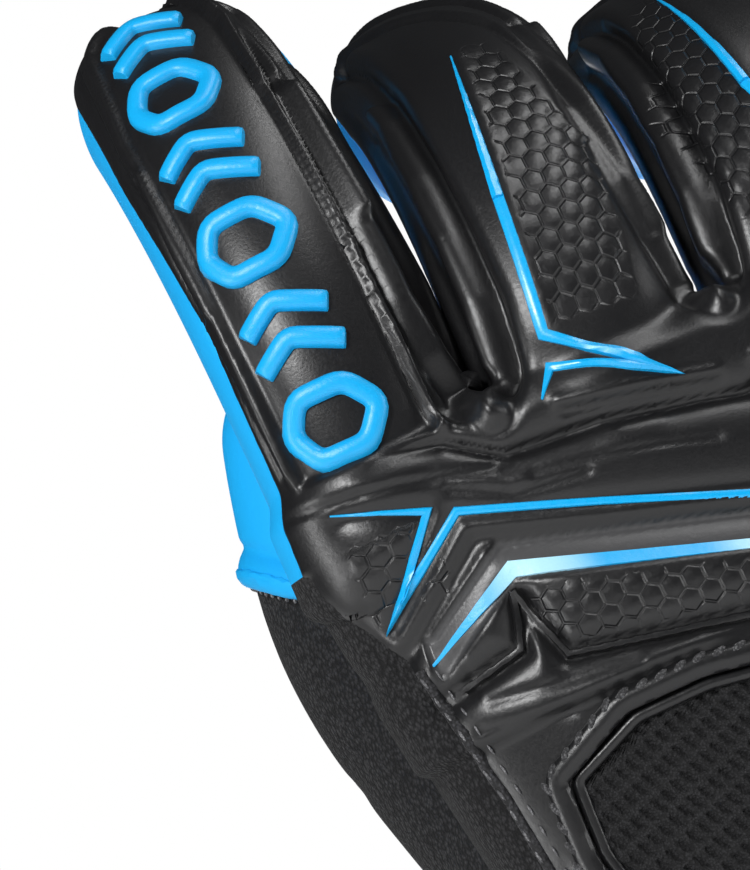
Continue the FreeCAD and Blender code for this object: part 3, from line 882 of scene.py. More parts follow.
def rounded_route(corners, radius, closed):
    """Corners replaced by short curves of about the given radius."""
    corners = np.asarray(corners, float)
    count = len(corners)
    result = []
    for i in range(count):
        if not closed and i in (0, count - 1):
            result.append(corners[i])
            continue
        before, here, after = corners[i - 1], corners[i], corners[(i + 1) % count]
        reach = min(radius, 0.45 * np.linalg.norm(before - here), 0.45 * np.linalg.norm(after - here))
        start = here + reach * unit(before - here)
        end = here + reach * unit(after - here)
        for t in (0.0, 0.25, 0.5, 0.75, 1.0):
            result.append((1 - t) ** 2 * start + 2 * t * (1 - t) * here + t * t * end)
    return np.array(result)


CREST = ([0.0, 0.1, 0.3, 0.5, 0.7, 0.9, 1.0], [-0.5, 0.55, 0.8, 1.0, 0.8, 0.55, -0.5])
FLAT = ([0.0, 0.04, 0.5, 0.96, 1.0], [-1.0, 0.9, 1.0, 0.9, -1.0])
PUFFY = ([0.0, 0.04, 0.12, 0.26, 0.5, 0.74, 0.88, 0.96, 1.0],
         [-0.35, 0.35, 0.7, 0.92, 1.0, 0.92, 0.7, 0.35, -0.35])


def strip(name, corners, widths, height, profile, closed=False, step=0.7, thick=0.8, ends=None,
          rise=0.0):
    """A strip along corners, mitred at each one, laid on the skin."""
    corners = np.asarray(corners, float)
    widths = np.broadcast_to(np.asarray(widths, float), len(corners))
    _, facing = snap(corners)
    if closed:
        corners = np.vstack([corners, corners[:1]])
        facing = np.vstack([facing, facing[:1]])
        widths = np.r_[widths, widths[0]]
    legs = unit(np.diff(corners, axis=0))
    first = np.vstack([legs[-1:] if closed else legs[:1], legs])
    last = np.vstack([legs, legs[:1] if closed else legs[-1:]])
    side_in = unit(np.cross(first, facing))
    side_out = unit(np.cross(last, facing))
    mitre = unit(side_in + side_out)
    reach = 0.5 * widths / np.clip(np.einsum("ij,ij->i", mitre, side_in), 0.15, 1)
    left = corners - mitre * reach[:, None]
    right = corners + mitre * reach[:, None]
    rows = []
    for i in range(len(corners) - 1):
        parts = max(1, int(np.ceil(np.linalg.norm(corners[i + 1] - corners[i]) / step)))
        share = np.arange(parts)[:, None] / parts
        rows.append(np.stack([left[i] * (1 - share) + left[i + 1] * share,
                              right[i] * (1 - share) + right[i + 1] * share], 1))
    rows.append(np.stack([left[-1], right[-1]])[None])
    rows = np.concatenate(rows)
    across = np.array(profile[0])[None, :, None]
    cloud = rows[:, :1] * (1 - across) + rows[:, 1:] * across
    spots, facing = snap(cloud)
    row_width = np.linalg.norm(rows[:, 1] - rows[:, 0], axis=1)
    lower = np.clip(row_width / (0.6 * row_width.max()), 0.35, 1)[:, None]
    lift = np.array(profile[1])[None, :] * height * lower
    if ends is not None and not closed:
        run = np.r_[0, np.cumsum(np.linalg.norm(np.diff(rows.mean(axis=1), axis=0), axis=1))]
        near_end = np.minimum(run, run[-1] - run)
        low = np.sqrt(np.clip(1 - np.clip(1 - near_end / ends, 0, 1) ** 2, 0, 1))[:, None]
        lift = lift * low - 0.35 * height * (1 - low)
    spots = spots + facing * (lift + rise * lower)[..., None]
    under = spots[:, [-1, 0]] - thick * facing[:, [-1, 0]]
    spots = np.concatenate([spots, under, spots[:, :1]], axis=1)

    def place(u, v):
        row = np.rint(v * (spots.shape[0] - 1)).astype(int)
        column = np.rint(u * (spots.shape[1] - 1)).astype(int)
        return spots[row, column]
    piece = weld(shaped_grid(name, spots.shape[1] - 1, spots.shape[0] - 1, place), 0.001)
    bpy.ops.object.shade_smooth_by_angle(angle=math.radians(35))
    return piece


def thicken(piece, thick):
    """Gives a sheet its thickness on its inner side, with outward normals and smooth shading."""
    apply_modifier(piece, "SOLIDIFY", thickness=thick * MM, offset=-1.0)
    only(piece)
    bpy.ops.object.mode_set(mode="EDIT")
    bpy.ops.mesh.select_all(action="SELECT")
    bpy.ops.mesh.normals_make_consistent(inside=False)
    bpy.ops.object.mode_set(mode="OBJECT")
    bpy.ops.object.shade_smooth_by_angle(angle=math.radians(35))


def back_places(route):
    """Places on the back of the hand, from (x, z) pairs, found along the line of sight into it."""
    found = []
    for x0, z0 in route:
        spot, _, _, _ = surface.ray_cast(Vector((x0, -80.0, z0)) * MM, Vector((0, 1, 0)))
        found.append(np.array(spot) / MM)
    return np.array(found)


def dense(route, step):
    """A route of pairs with more pairs between, so that it follows a curved surface."""
    route = np.asarray(route, float)
    result = [route[0]]
    for start, end in zip(route[:-1], route[1:]):
        parts = max(1, int(np.ceil(np.linalg.norm(end - start) / step)))
        result += [start + (end - start) * (i + 1) / parts for i in range(parts)]
    return np.array(result)


def widths_along(route, keys, values):
    """Widths for a dense route, given at some of its pairs."""
    index = [int(np.argmin(np.linalg.norm(route - np.array(key), axis=1))) for key in keys]
    return np.interp(np.arange(len(route)), index, values)


def across_hand(route, widths, step, middle_z, middle_width):
    """Places and widths of a line over the whole back, from its left half and its middle point."""
    left = dense(route, step)
    left_width = widths_along(left, route, widths)
    right = (left * np.array([-1.0, 1.0]))[::-1]
    places = back_places(np.vstack([left, [(0.0, middle_z)], right]))
    return places, np.r_[left_width, middle_width, left_width[::-1]]


# %% The pointed line across the hand, and the broad band below it
STAR_ROUTE = [(-52.3, 175.0), (-41.5, 170.6), (-49.2, 161.6), (-38.3, 169.1), (-22.0, 162.8), (-5.2, 156.0)]
STAR_WIDTH = [0.25, 1.0, 1.3, 1.1, 1.0, 1.2]
star = strip("star_line", *across_hand(STAR_ROUTE, STAR_WIDTH, 6.0, 153.9, 1.3), 0.6, CREST, rise=0.2)
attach(star, "hand")
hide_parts("star_inlay")

BAND_ROUTE = [(-49.1, 153.1), (-35.3, 159.9), (-21.7, 155.1), (-7.9, 150.4)]
BAND_WIDTH = [0.3, 2.2, 1.9, 1.6]
band = strip("knuckle_stripe", *across_hand(BAND_ROUTE, BAND_WIDTH, 5.0, 147.9, 1.5), 0.22, FLAT)
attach(band, "hand")
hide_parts("knuckle_band")

RIB_ROUTES = [[(-36.3, 157.6), (-38.3, 150.6), (-46.2, 149.1)],
              [(-36.3, 157.6), (-33.5, 147.7), (-22.5, 145.1), (-11.6, 142.8), (0.0, 140.4)]]
ribs = []
for route in RIB_ROUTES:
    for side in (-1, 1):
        pairs = dense([(-side * x0, z0) for x0, z0 in route], 4.0)
        ribs.append(strip("rib", back_places(pairs), 0.95, 0.75, FLAT, thick=1.0))
ribs = join(ribs, "backhand_ribs")
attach(ribs, "hand")
print("hand lines", len(star.data.polygons), len(band.data.polygons), len(ribs.data.polygons))


# %% Finger inlays: a line down the finger, then an arrow on the knuckle
finger_inlays = []
for name, line, arrow in (
        ("middle", [(39.5, -1.1), (18.0, -4.15), (2.8, -5.8)],
         [(-9.2, 174.8), (-20.6, 180.4), (-23.3, 177.0)]),
        ("ring", [(39.0, -3.2), (18.0, -0.5), (3.4, 2.6)],
         [(12.2, 175.6), (23.6, 181.0), (26.0, 177.4)])):
    pairs = dense(line, 4.0)
    widths = widths_along(pairs, line, [0.2, 1.5, 1.6])
    cut = int(np.argmin(np.abs(pairs[:, 0] - MID_SPLIT)))
    upper = strip(name + "_inlay_tip", finger_places(name, pairs[:cut + 1]), widths[:cut + 1], 0.65, CREST,
                  rise=0.2)
    places = np.vstack([finger_places(name, pairs[cut:]), back_places(arrow)])
    lower = strip(name + "_inlay_base", places, np.r_[widths[cut:], 1.3, 1.25, 0.3], 0.65, CREST,
                  rise=0.2)
    finger_inlays += [lower, upper]
    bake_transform(lower)
    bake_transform(upper)
    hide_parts(name + "_inlay_lower")
    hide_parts(name + "_inlay_upper")
    print(name, "inlay", len(lower.data.polygons) + len(upper.data.polygons))


# %% Raised motifs down the index finger: hexagon rings and chevrons in turn
def motif_places(centre, outline):
    s0, q0 = centre
    return finger_places("index", [(s0 + ds, q0 + dq) for dq, ds in outline])


HEXAGON = [(-5.5, 0.0), (-3.0, 3.5), (3.0, 3.5), (5.5, 0.0), (3.0, -3.5), (-3.0, -3.5)]
CHEVRON = [(-5.5, -1.5), (0.0, 1.1), (5.5, -1.5)]
MOTIFS = [(7.0, -3.1, "ring"), (18.0, -3.4, "chevrons"), (29.0, -3.5, "ring"), (40.0, -3.4, "chevrons"),
          (51.0, -2.8, "ring"), (62.0, -2.0, "chevrons")]
made = {"base": [], "tip": []}
for s0, q0, kind in MOTIFS:
    half = "base" if s0 < 20 else "tip"
    narrow = 0.93 if s0 > 45 else 1.0
    if kind == "ring":
        outline = [(dq * narrow, ds) for dq, ds in HEXAGON]
        route = rounded_route(motif_places((s0, q0), outline), 1.6, True)
        made[half].append(strip("motif", route, 3.0, 1.35, PUFFY, closed=True, step=0.5, thick=1.1))
    else:
        for shift in (-2.1, 2.3):
            outline = [(dq * narrow, ds + shift) for dq, ds in CHEVRON]
            route = rounded_route(motif_places((s0, q0), outline), 1.2, False)
            made[half].append(strip("motif", route, 2.9, 1.35, PUFFY, step=0.5, thick=1.1, ends=1.0))
motifs_base = join(made["base"], "index_motifs_base")
motifs_tip = join(made["tip"], "index_motifs_tip")
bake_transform(motifs_base)
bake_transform(motifs_tip)
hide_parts("index_motifs_lower")
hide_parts("index_motifs_upper")
print("motifs", len(motifs_base.data.polygons), len(motifs_tip.data.polygons))

# %% [markdown]
# The mesh window is set into the foam with a padded welt. A cord runs round it, held down by
# whip stitches, and the same stitches run down the seam at the thumb side.

# %% Mesh window, with its slanted rows of open ribs
WINDOW_RIGHT = np.array([(30.6, 75.6), (41.2, 124.0), (40.7, 134.4), (30.3, 139.2)])
MESH_LOW, MESH_HIGH = 75.6, 138.6
MESH_COLUMN, MESH_ROW, MESH_LEAN = 1.75, 2.6, 0.42
mesh_grid = 230
bpy.data.objects.remove(pieces.pop("mesh_panel"))


def mesh_place(u, v):
    z0 = 76 + v * 62.6
    x0 = (2 * u - 1) * np.interp(z0, WINDOW_RIGHT[:, 1], WINDOW_RIGHT[:, 0])
    top = np.interp(np.abs(x0), [0, 20, 30.3, 41], [135.6, 139.2, 139.2, 134.4])
    z0 = MESH_LOW + (z0 - MESH_LOW) / (MESH_HIGH - MESH_LOW) * (top - MESH_LOW)
    width, back, _ = hand_sizes(z0)
    share = np.clip(np.abs(x0) / width, 0, 1)
    y0 = -(back - 1.1) * (1 - share ** HAND_ROUND) ** (1 / HAND_ROUND)
    column = (x0 + MESH_LEAN * z0) / MESH_COLUMN
    step = 0.5 * (np.floor(column) % 2)
    along = z0 / MESH_ROW + 0.3 * column + step
    slit = fade(0.5 - np.abs(column % 1.0 - 0.5), 0.12, 0.34)
    slit *= fade(0.5 - np.abs(along % 1.0 - 0.5), 0.1, 0.3)
    rise = 0.55 - 0.6 * slit
    return np.stack([x0, y0 - rise, z0], -1)


mesh_sheet = shaped_grid("mesh_window", mesh_grid, int(mesh_grid * 0.9), mesh_place)
thicken(mesh_sheet, 0.9)
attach(mesh_sheet, "hand")
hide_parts("mesh_panel")


# %% Stitches: one short round bar, repeated along a route
def stitches(name, route, pitch, length, radius, turn, lift=0.25, thread_across=0.0):
    """Bars laid on the skin along a route, each turned by an angle from it."""
    route = np.asarray(route, float)
    run = np.r_[0, np.cumsum(np.linalg.norm(np.diff(route, axis=0), axis=1))]
    count = int(run[-1] / pitch)
    at = (np.arange(count) + 0.5) * run[-1] / count
    spots = np.stack([np.interp(at, run, route[:, i]) for i in range(3)], -1)
    ahead = np.stack([np.interp(at + 0.5, run, route[:, i]) for i in range(3)], -1)
    behind = np.stack([np.interp(at - 0.5, run, route[:, i]) for i in range(3)], -1)
    spots, facing = snap(spots)
    bpy.ops.object.select_all(action="DESELECT")
    bpy.ops.mesh.primitive_uv_sphere_add(segments=8, ring_count=6, radius=1)
    model = bpy.context.object
    shape = model.data
    only(model)
    bpy.ops.object.shade_smooth()
    bars = []
    for spot, normal, tangent in zip(spots, facing, unit(ahead - behind)):
        side = unit(np.cross(normal, tangent))
        along = math.cos(turn) * tangent + math.sin(turn) * side
        across = np.cross(normal, along)
        frame_axes = Matrix((along * length / 2, across * radius, normal * radius)).transposed()
        bar = bpy.data.objects.new(name, shape.copy())
        scene.collection.objects.link(bar)
        centre = (spot + normal * lift + side * thread_across) * MM
        bar.matrix_world = Matrix.Translation(Vector(centre)) @ (frame_axes * MM).to_4x4()
        bars.append(bar)
    bpy.data.objects.remove(model)
    piece = join(bars, name)
    only(piece)
    bpy.ops.object.transform_apply(location=True, rotation=True, scale=True)
    return piece


def window_route(grow):
    """The window's outline in (x, z), all the way round, moved outwards."""
    right = [(30.0 + grow, 76.0 - grow), (40.5 + grow, 124.0), (40.0 + grow, 134.0 + 0.5 * grow),
             (30.0 + 0.5 * grow, 138.5 + grow), (20.0, 138.5 + grow)]
    left = [(-x0, z0) for x0, z0 in right][::-1]
    return right + [(0.0, 135.0 + grow)] + left


def closed_dense(route, step):
    return dense(list(route) + [route[0]], step)[:-1]


def window_roll(name, grow, width, height):
    """A soft roll all round the window, moved outwards from its edge."""
    line = rounded_route(back_places(closed_dense(window_route(grow), 3.0)), 3.0, True)
    return strip(name, line, width, height, PUFFY, closed=True, step=1.2, thick=1.2)


cord = window_roll("mesh_welt", 1.3, 3.1, 1.35)
inner = window_roll("welt_inner", -1.1, 1.7, 0.8)
welt_piece = join([cord, inner], "mesh_welt")
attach(welt_piece, "hand")
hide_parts("mesh_binding")
stitch_line = back_places(closed_dense(window_route(2.2), 1.5))
window_stitches = stitches("window_stitches", np.vstack([stitch_line, stitch_line[:1]]), 2.5, 2.3, 0.5,
                           math.radians(24), lift=0.95)
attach(window_stitches, "hand")
print("window", [len(piece.data.polygons) for piece in (mesh_sheet, welt_piece, window_stitches)])

# %% Side seam: a flat tape with two rows of pale stitches
SEAM_ROUTE = [(-50.6, 153.5), (-49.2, 144.3), (-47.6, 135.4), (-46.6, 125.7), (-44.4, 106), (-40.2, 82),
              (-38.4, 68)]


def beside_seam(shift):
    """Places along the seam, moved sideways towards the middle of the hand."""
    return back_places(dense([(x0 + shift, z0) for x0, z0 in SEAM_ROUTE], 3.0))


seam_places = beside_seam(0.6)
seam = strip("thumb_seam_tape", seam_places, 1.5, 0.6, PUFFY, step=1.2, thick=0.9)
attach(seam, "hand")
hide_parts("thumb_side_seam")
seam_stitches = stitches("seam_stitches", seam_places, 2.9, 1.7, 0.2, 0.1, lift=0.62)
edge_stitches = stitches("edge_stitches", beside_seam(2.1), 2.9, 1.6, 0.16, 0.05, lift=0.1)
seam_stitches = join([seam_stitches, edge_stitches], "seam_stitches")
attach(seam_stitches, "hand")

# %% Hem of the thumb's cap: a soft roll with small stitches under it
def hem_loop(offset):
    """Places round the thumb where the hem runs, found by walking down each side of it."""
    result = []
    for angle in np.arange(0, 360, 9.0):
        s_try = np.linspace(62, 112, 200)
        line = thumb_point(s_try, np.full(200, angle))
        result.append(line[int(np.argmin(np.abs(above_hem(line) - offset)))])
    return np.array(result)


hem = strip("thumb_hem_roll", hem_loop(0.9)[::-1], 2.6, 0.75, PUFFY, closed=True, step=1.0, thick=0.9)
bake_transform(hem)
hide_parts("thumb_hem")
hem_line = hem_loop(-0.7)
hem_stitches = stitches("hem_stitches", np.vstack([hem_line, hem_line[:1]]), 1.5, 0.9, 0.26,
                        math.radians(80), lift=0.3)
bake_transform(hem_stitches)
print("thumb hem", len(hem.data.polygons), len(hem_stitches.data.polygons))

# %% [markdown]
# Below the hand the glove ends in an elastic bandage round the wrist, with a strap that closes
# over it. The strap is sewn down at the thumb side and swings open round that seam.

# %% Helper: a panel that lies round the wrist
ring_angles = np.linspace(0, 360, 1441)
ring = hand_point(ring_angles, np.full(1441, 34.0))
ring_run = np.r_[0, np.cumsum(np.linalg.norm(np.diff(ring, axis=0), axis=1))]
print("girth of the cuff", round(ring_run[-1], 1), "mm")


def even_angle(share, low=0.0, high=360.0):
    """Angles between two limits, spaced evenly by length round the cuff."""
    start, end = np.interp([low, high], ring_angles, ring_run)
    return np.interp(start + np.clip(share, 0, 1) * (end - start), ring_run, ring_angles)


def wrist_panel(name, heights, angles, outside, thick, counts, corner=0.0, soft=0.5, relief=None):
    """A panel on the wrist. outside is how far its face stands off the hand's form."""
    low, high = heights
    middle, half = (low + high) / 2, (high - low) / 2
    length = np.ptp(np.interp(angles, ring_angles, ring_run))
    whole_round = angles[1] - angles[0] > 359

    def place(u, v):
        # a panel that goes all round has its outer face up to v = 0.8, and then its inner one
        inner = whole_round & (v > 0.8)
        v = np.where(inner, 5 * (1 - v), v / 0.8) if whole_round else v
        along = u * length
        to_end = np.minimum(along, length - along)
        short = np.clip(corner - to_end, 0, corner)
        reach = half - (corner - np.sqrt(np.maximum(corner ** 2 - short ** 2, 0)))
        z0 = middle + (2 * v - 1) * reach
        to_edge = np.minimum(to_end, reach - np.abs(z0 - middle))
        sunk = soft * (1 - np.sqrt(1 - (1 - np.clip(to_edge / (2 * soft + 0.01), 0, 1)) ** 2))
        rise = 0 if relief is None else relief(along, z0) * fade(to_edge, 0.5, 1.5)
        depth = np.where(inner, thick - outside, sunk - outside - rise)
        return hand_point(even_angle(u, *angles), z0, depth)
    piece = shaped_grid(name, counts[0], counts[1], place)
    if whole_round:
        weld(piece)
        bpy.ops.object.shade_smooth_by_angle(angle=math.radians(35))
    else:
        thicken(piece, thick)
    return piece


# %% Bandage, its binding, the lining
RIB_PITCH = 2.1
fine = 2


def elastic_ribs(along, z0):
    return 0.28 * np.cos(2 * np.pi * along / RIB_PITCH) + 0.08 * np.cos(2 * np.pi * z0 / 5.5)


bandage = wrist_panel("elastic_bandage", (5.2, 64.4), (0, 360), -0.35, 1.9, (350 * fine, 30 * fine),
                      soft=0.3, relief=elastic_ribs)
binding = wrist_panel("cuff_tape", (0.0, 6.4), (0, 360), 0.7, 2.6, (240, 20), soft=0.9)
seam_tape = wrist_panel("wrist_seam", (61.6, 66.4), (0, 360), 1.0, 1.3, (240, 20), soft=0.7)
standing = points_of(binding)
standing[:, 2] = np.maximum(standing[:, 2], 0)
move_points(binding, standing)
for piece, node, slot in ((bandage, "wrist_bandage", "bandage"), (binding, "cuff_binding", "binding"),
                          (seam_tape, None, "binding")):
    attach(piece, "hand")
    if node:
        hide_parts(node)


def lining_place(u, v):
    return hand_point(u * 360, 5.5 + v * 162.0, 3.3)


lining = shaped_grid("hand_lining", 120, 60, lining_place)
thicken(lining, 0.8)
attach(lining, "hand")
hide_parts("backhand_lining", "palm_lining")
print("cuff", len(bandage.data.polygons), len(binding.data.polygons), len(lining.data.polygons))

# %% Strap with its sewn root, hook and loop pads, badge and pull tab
STRAP_FREE, STRAP_ROOT = 20.0, 216.0        # angles round the cuff
STRAP_MIDDLE, STRAP_HALF, STRAP_CORNER = 47.0, 13.0, 9.0


def strap_place(u, v):
    angle = STRAP_FREE + u * (STRAP_ROOT - STRAP_FREE)
    run = np.interp(angle, ring_angles, ring_run)
    to_end = run - np.interp(STRAP_FREE, ring_angles, ring_run)
    short = np.clip(STRAP_CORNER - to_end, 0, STRAP_CORNER)
    reach = STRAP_HALF - (STRAP_CORNER - np.sqrt(STRAP_CORNER ** 2 - short ** 2))
    z0 = STRAP_MIDDLE + (2 * v - 1) * reach
    to_edge = np.minimum(to_end, reach - np.abs(z0 - STRAP_MIDDLE))
    sunk = 0.6 * (1 - np.sqrt(1 - (1 - np.clip(to_edge / 1.2, 0, 1)) ** 2))
    quilt = 0.22 * (1 - bump(to_edge - 2.6, 0.45)) * fade(to_edge, 0.4, 1.4)
    stands = np.interp(angle, [20, 186, 200, 204, 216], [3.9, 3.9, 2.2, 1.3, 1.1])
    return hand_point(angle, z0, -(stands - sunk + quilt))


strap = shaped_grid("closing_strap", 150 * fine, 26 * fine, strap_place)
thicken(strap, 1.6)
loop = wrist_panel("loop_patch", (37, 57), (24, 80), 1.0, 0.8, (60, 20), corner=3.0, soft=0.3)
hook = wrist_panel("hook_patch", (37, 57), (26, 62), 2.0, 0.7, (60, 20), corner=3.0, soft=0.2)


def badge_relief(along, z0):
    middle = 0.5 * np.ptp(np.interp([72.0, 108.0], ring_angles, ring_run))
    a, b = along - middle, z0 - STRAP_MIDDLE
    chevrons = [np.abs(a - shift + 0.55 * np.abs(b)) for shift in (-6.0, 0.0, 6.0)]
    return 0.5 * np.max([fade(-c, -1.5, -1.0) for c in chevrons], axis=0) * fade(5.0 - np.abs(b), 0, 0.5)


badge = wrist_panel("badge_plate", (39, 55), (72, 108), 5.0, 0.9, (72 * fine, 32 * fine), corner=3.0,
                    soft=0.3, relief=badge_relief)
tab = wrist_panel("pull_loop", (3, 30), (258, 282), 2.6, 1.6, (40, 50), corner=2.0, soft=0.5,
                  relief=lambda along, z0: 0.15 * np.cos(2 * np.pi * along / 1.2))
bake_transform(strap)
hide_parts("wrist_strap", "strap_root_tab")
for piece, node, body, slot in (
        (loop, "loop_pad", "hand", "hook_loop"), (hook, "hook_pad", "strap", "hook_loop"),
        (badge, "strap_badge", "strap", "badge"), (tab, "pull_tab", "hand", "bandage")):
    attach(piece, body)
    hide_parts(node)
print("strap", len(strap.data.polygons), "badge", len(badge.data.polygons))

# %% [markdown]
# The finishes: fine-grained foam with a honeycomb in some fields, soft matt latex, knit, cord and
# glossy ink. Each is a short chain of noise and colour nodes that works on the object's place.

# %% Nodes that all finishes share
def new_material(name):
    material = bpy.data.materials.new(name)
    material.use_nodes = True
    tree = material.node_tree
    tree.nodes.clear()
    shader = tree.nodes.new("ShaderNodeBsdfPrincipled")
    shader.label = "surface"
    shader.location = (700, 0)
    output = tree.nodes.new("ShaderNodeOutputMaterial")
    output.label = "finished surface"
    output.location = (1000, 0)
    tree.links.new(shader.outputs["BSDF"], output.inputs["Surface"])
    where = tree.nodes.new("ShaderNodeTexCoord")
    where.label = "place on the object"
    where.location = (-900, 0)
    return material, tree, shader, where


def labelled(tree, label):
    """The node that bears a label."""
    return next(node for node in tree.nodes if node.label == label)


# %% One function for grained rubber: foam, latex and ink differ only in its numbers
def grained(name, dark, light, rough, grain, depth, specular=0.5, cloud=18.0):
    """Two colours mixed by slow noise, a rough finish, and fine grain as a bump."""
    material, tree, shader, where = new_material(name)
    slow = tree.nodes.new("ShaderNodeTexNoise")
    slow.label = "slow cloud"
    slow.location = (-600, 250)
    slow.inputs["Scale"].default_value = cloud
    slow.inputs["Detail"].default_value = 3
    tree.links.new(where.outputs["Object"], slow.inputs["Vector"])
    tone = tree.nodes.new("ShaderNodeMix")
    tone.label = "two tones"
    tone.data_type = "RGBA"
    tone.location = (-200, 250)
    tone.inputs["A"].default_value = (*dark, 1)
    tone.inputs["B"].default_value = (*light, 1)
    tree.links.new(slow.outputs["Fac"], tone.inputs["Factor"])
    tree.links.new(tone.outputs["Result"], shader.inputs["Base Color"])
    fine_grain = tree.nodes.new("ShaderNodeTexNoise")
    fine_grain.label = "fine grain"
    fine_grain.location = (-600, -100)
    fine_grain.inputs["Scale"].default_value = grain
    fine_grain.inputs["Detail"].default_value = 4
    fine_grain.inputs["Roughness"].default_value = 0.65
    tree.links.new(where.outputs["Object"], fine_grain.inputs["Vector"])
    bump_node = tree.nodes.new("ShaderNodeBump")
    bump_node.label = "grain height"
    bump_node.location = (400, -250)
    bump_node.inputs["Strength"].default_value = depth
    bump_node.inputs["Distance"].default_value = 0.0004
    tree.links.new(fine_grain.outputs["Fac"], bump_node.inputs["Height"])
    tree.links.new(bump_node.outputs["Normal"], shader.inputs["Normal"])
    shine = tree.nodes.new("ShaderNodeMapRange")
    shine.label = "shine varies with the grain"
    shine.location = (100, -50)
    shine.inputs["From Min"].default_value = 0.3
    shine.inputs["From Max"].default_value = 0.7
    shine.inputs["To Min"].default_value = rough - 0.05
    shine.inputs["To Max"].default_value = rough + 0.05
    tree.links.new(fine_grain.outputs["Fac"], shine.inputs["Value"])
    tree.links.new(shine.outputs["Result"], shader.inputs["Roughness"])
    shader.inputs["Specular IOR Level"].default_value = specular
    for title, members in (("colour", (slow, tone)), ("grain and shine", (fine_grain, bump_node, shine))):
        group = tree.nodes.new("NodeFrame")
        group.label = title
        for node in members:
            node.parent = group
    return material


FOAM_BLACK = grained("moulded_foam", (0.0065, 0.0065, 0.007), (0.011, 0.011, 0.012), 0.33, 2600.0, 0.09)
LATEX_BLUE = grained("blue_latex", (0.003, 0.36, 0.78), (0.005, 0.41, 0.86), 0.62, 1800.0, 0.12, 0.35)
INK_BLUE = grained("blue_inlay", (0.003, 0.36, 0.76), (0.006, 0.42, 0.84), 0.27, 900.0, 0.06, 0.6)
MOTIF_BLUE = grained("blue_motif", (0.003, 0.36, 0.76), (0.006, 0.41, 0.83), 0.36, 2200.0, 0.14)
STRAP_BLACK = grained("strap_face", (0.012, 0.012, 0.013), (0.02, 0.02, 0.022), 0.55, 2000.0, 0.3)

# %% The moulded foam also has a honeycomb, in cells 2.7 mm wide, where the mask says so
tree = FOAM_BLACK.node_tree
along_u = tree.nodes.new("ShaderNodeAttribute")
along_u.label = "millimetres across"
along_u.attribute_name = "flow_u"
along_u.location = (-1500, -500)
along_v = tree.nodes.new("ShaderNodeAttribute")
along_v.label = "millimetres along"
along_v.attribute_name = "flow_v"
along_v.location = (-1500, -700)
mask = tree.nodes.new("ShaderNodeAttribute")
mask.label = "honeycomb mask"
mask.attribute_name = "honeycomb"
mask.location = (-400, -700)
flat_place = tree.nodes.new("ShaderNodeCombineXYZ")
flat_place.label = "flat place"
flat_place.location = (-1300, -600)
tree.links.new(along_u.outputs["Fac"], flat_place.inputs["X"])
tree.links.new(along_v.outputs["Fac"], flat_place.inputs["Y"])
cells = []
cell_nodes = [along_u, along_v, flat_place]
for number, shift in enumerate((0.0, 0.5)):
    scaled = tree.nodes.new("ShaderNodeVectorMath")
    scaled.label = "cell count"
    scaled.operation = "MULTIPLY_ADD"
    scaled.location = (-1100, -500 - 220 * number)
    scaled.inputs[1].default_value = (1 / HEX_WIDTH, 1 / (HEX_WIDTH * ROOT_3), 0)
    scaled.inputs[2].default_value = (shift, shift, 0)
    rounded = tree.nodes.new("ShaderNodeVectorMath")
    rounded.label = "within the cell"
    rounded.operation = "FRACTION"
    rounded.location = (-900, -500 - 220 * number)
    centred = tree.nodes.new("ShaderNodeVectorMath")
    centred.label = "from the cell's middle"
    centred.operation = "MULTIPLY_ADD"
    centred.location = (-700, -500 - 220 * number)
    centred.inputs[1].default_value = (1, ROOT_3, 0)
    centred.inputs[2].default_value = (-0.5, -0.5 * ROOT_3, 0)
    folded = tree.nodes.new("ShaderNodeVectorMath")
    folded.label = "one quarter"
    folded.operation = "ABSOLUTE"
    folded.location = (-500, -500 - 220 * number)
    slanted = tree.nodes.new("ShaderNodeVectorMath")
    slanted.label = "slanted side"
    slanted.operation = "DOT_PRODUCT"
    slanted.location = (-300, -500 - 220 * number)
    slanted.inputs[1].default_value = (0.5, 0.5 * ROOT_3, 0)
    upright = tree.nodes.new("ShaderNodeSeparateXYZ")
    upright.label = "upright side"
    upright.location = (-300, -640 - 220 * number)
    further = tree.nodes.new("ShaderNodeMath")
    further.label = "distance in the hexagon"
    further.operation = "MAXIMUM"
    further.location = (-100, -500 - 220 * number)
    tree.links.new(flat_place.outputs["Vector"], scaled.inputs[0])
    tree.links.new(scaled.outputs["Vector"], rounded.inputs[0])
    tree.links.new(rounded.outputs["Vector"], centred.inputs[0])
    tree.links.new(centred.outputs["Vector"], folded.inputs[0])
    tree.links.new(folded.outputs["Vector"], slanted.inputs[0])
    tree.links.new(folded.outputs["Vector"], upright.inputs[0])
    tree.links.new(slanted.outputs["Value"], further.inputs[0])
    tree.links.new(upright.outputs["X"], further.inputs[1])
    cells.append(further)
    cell_nodes += [scaled, rounded, centred, folded, slanted, upright, further]
nearest = tree.nodes.new("ShaderNodeMath")
nearest.label = "nearest cell"
nearest.operation = "MINIMUM"
nearest.location = (80, -600)
tree.links.new(cells[0].outputs["Value"], nearest.inputs[0])
tree.links.new(cells[1].outputs["Value"], nearest.inputs[1])
groove = tree.nodes.new("ShaderNodeMapRange")
groove.label = "groove between cells"
groove.interpolation_type = "SMOOTHSTEP"
groove.location = (260, -600)
groove.inputs["From Min"].default_value = 0.41
groove.inputs["From Max"].default_value = 0.49
groove.inputs["To Min"].default_value = 0.0
groove.inputs["To Max"].default_value = -1.0
tree.links.new(nearest.outputs["Value"], groove.inputs["Value"])
masked = tree.nodes.new("ShaderNodeMath")
masked.label = "only in the fields"
masked.operation = "MULTIPLY"
masked.location = (440, -600)
tree.links.new(groove.outputs["Result"], masked.inputs[0])
tree.links.new(mask.outputs["Fac"], masked.inputs[1])
cell_bump = tree.nodes.new("ShaderNodeBump")
cell_bump.label = "cell height"
cell_bump.location = (620, -500)
cell_bump.inputs["Strength"].default_value = 0.55
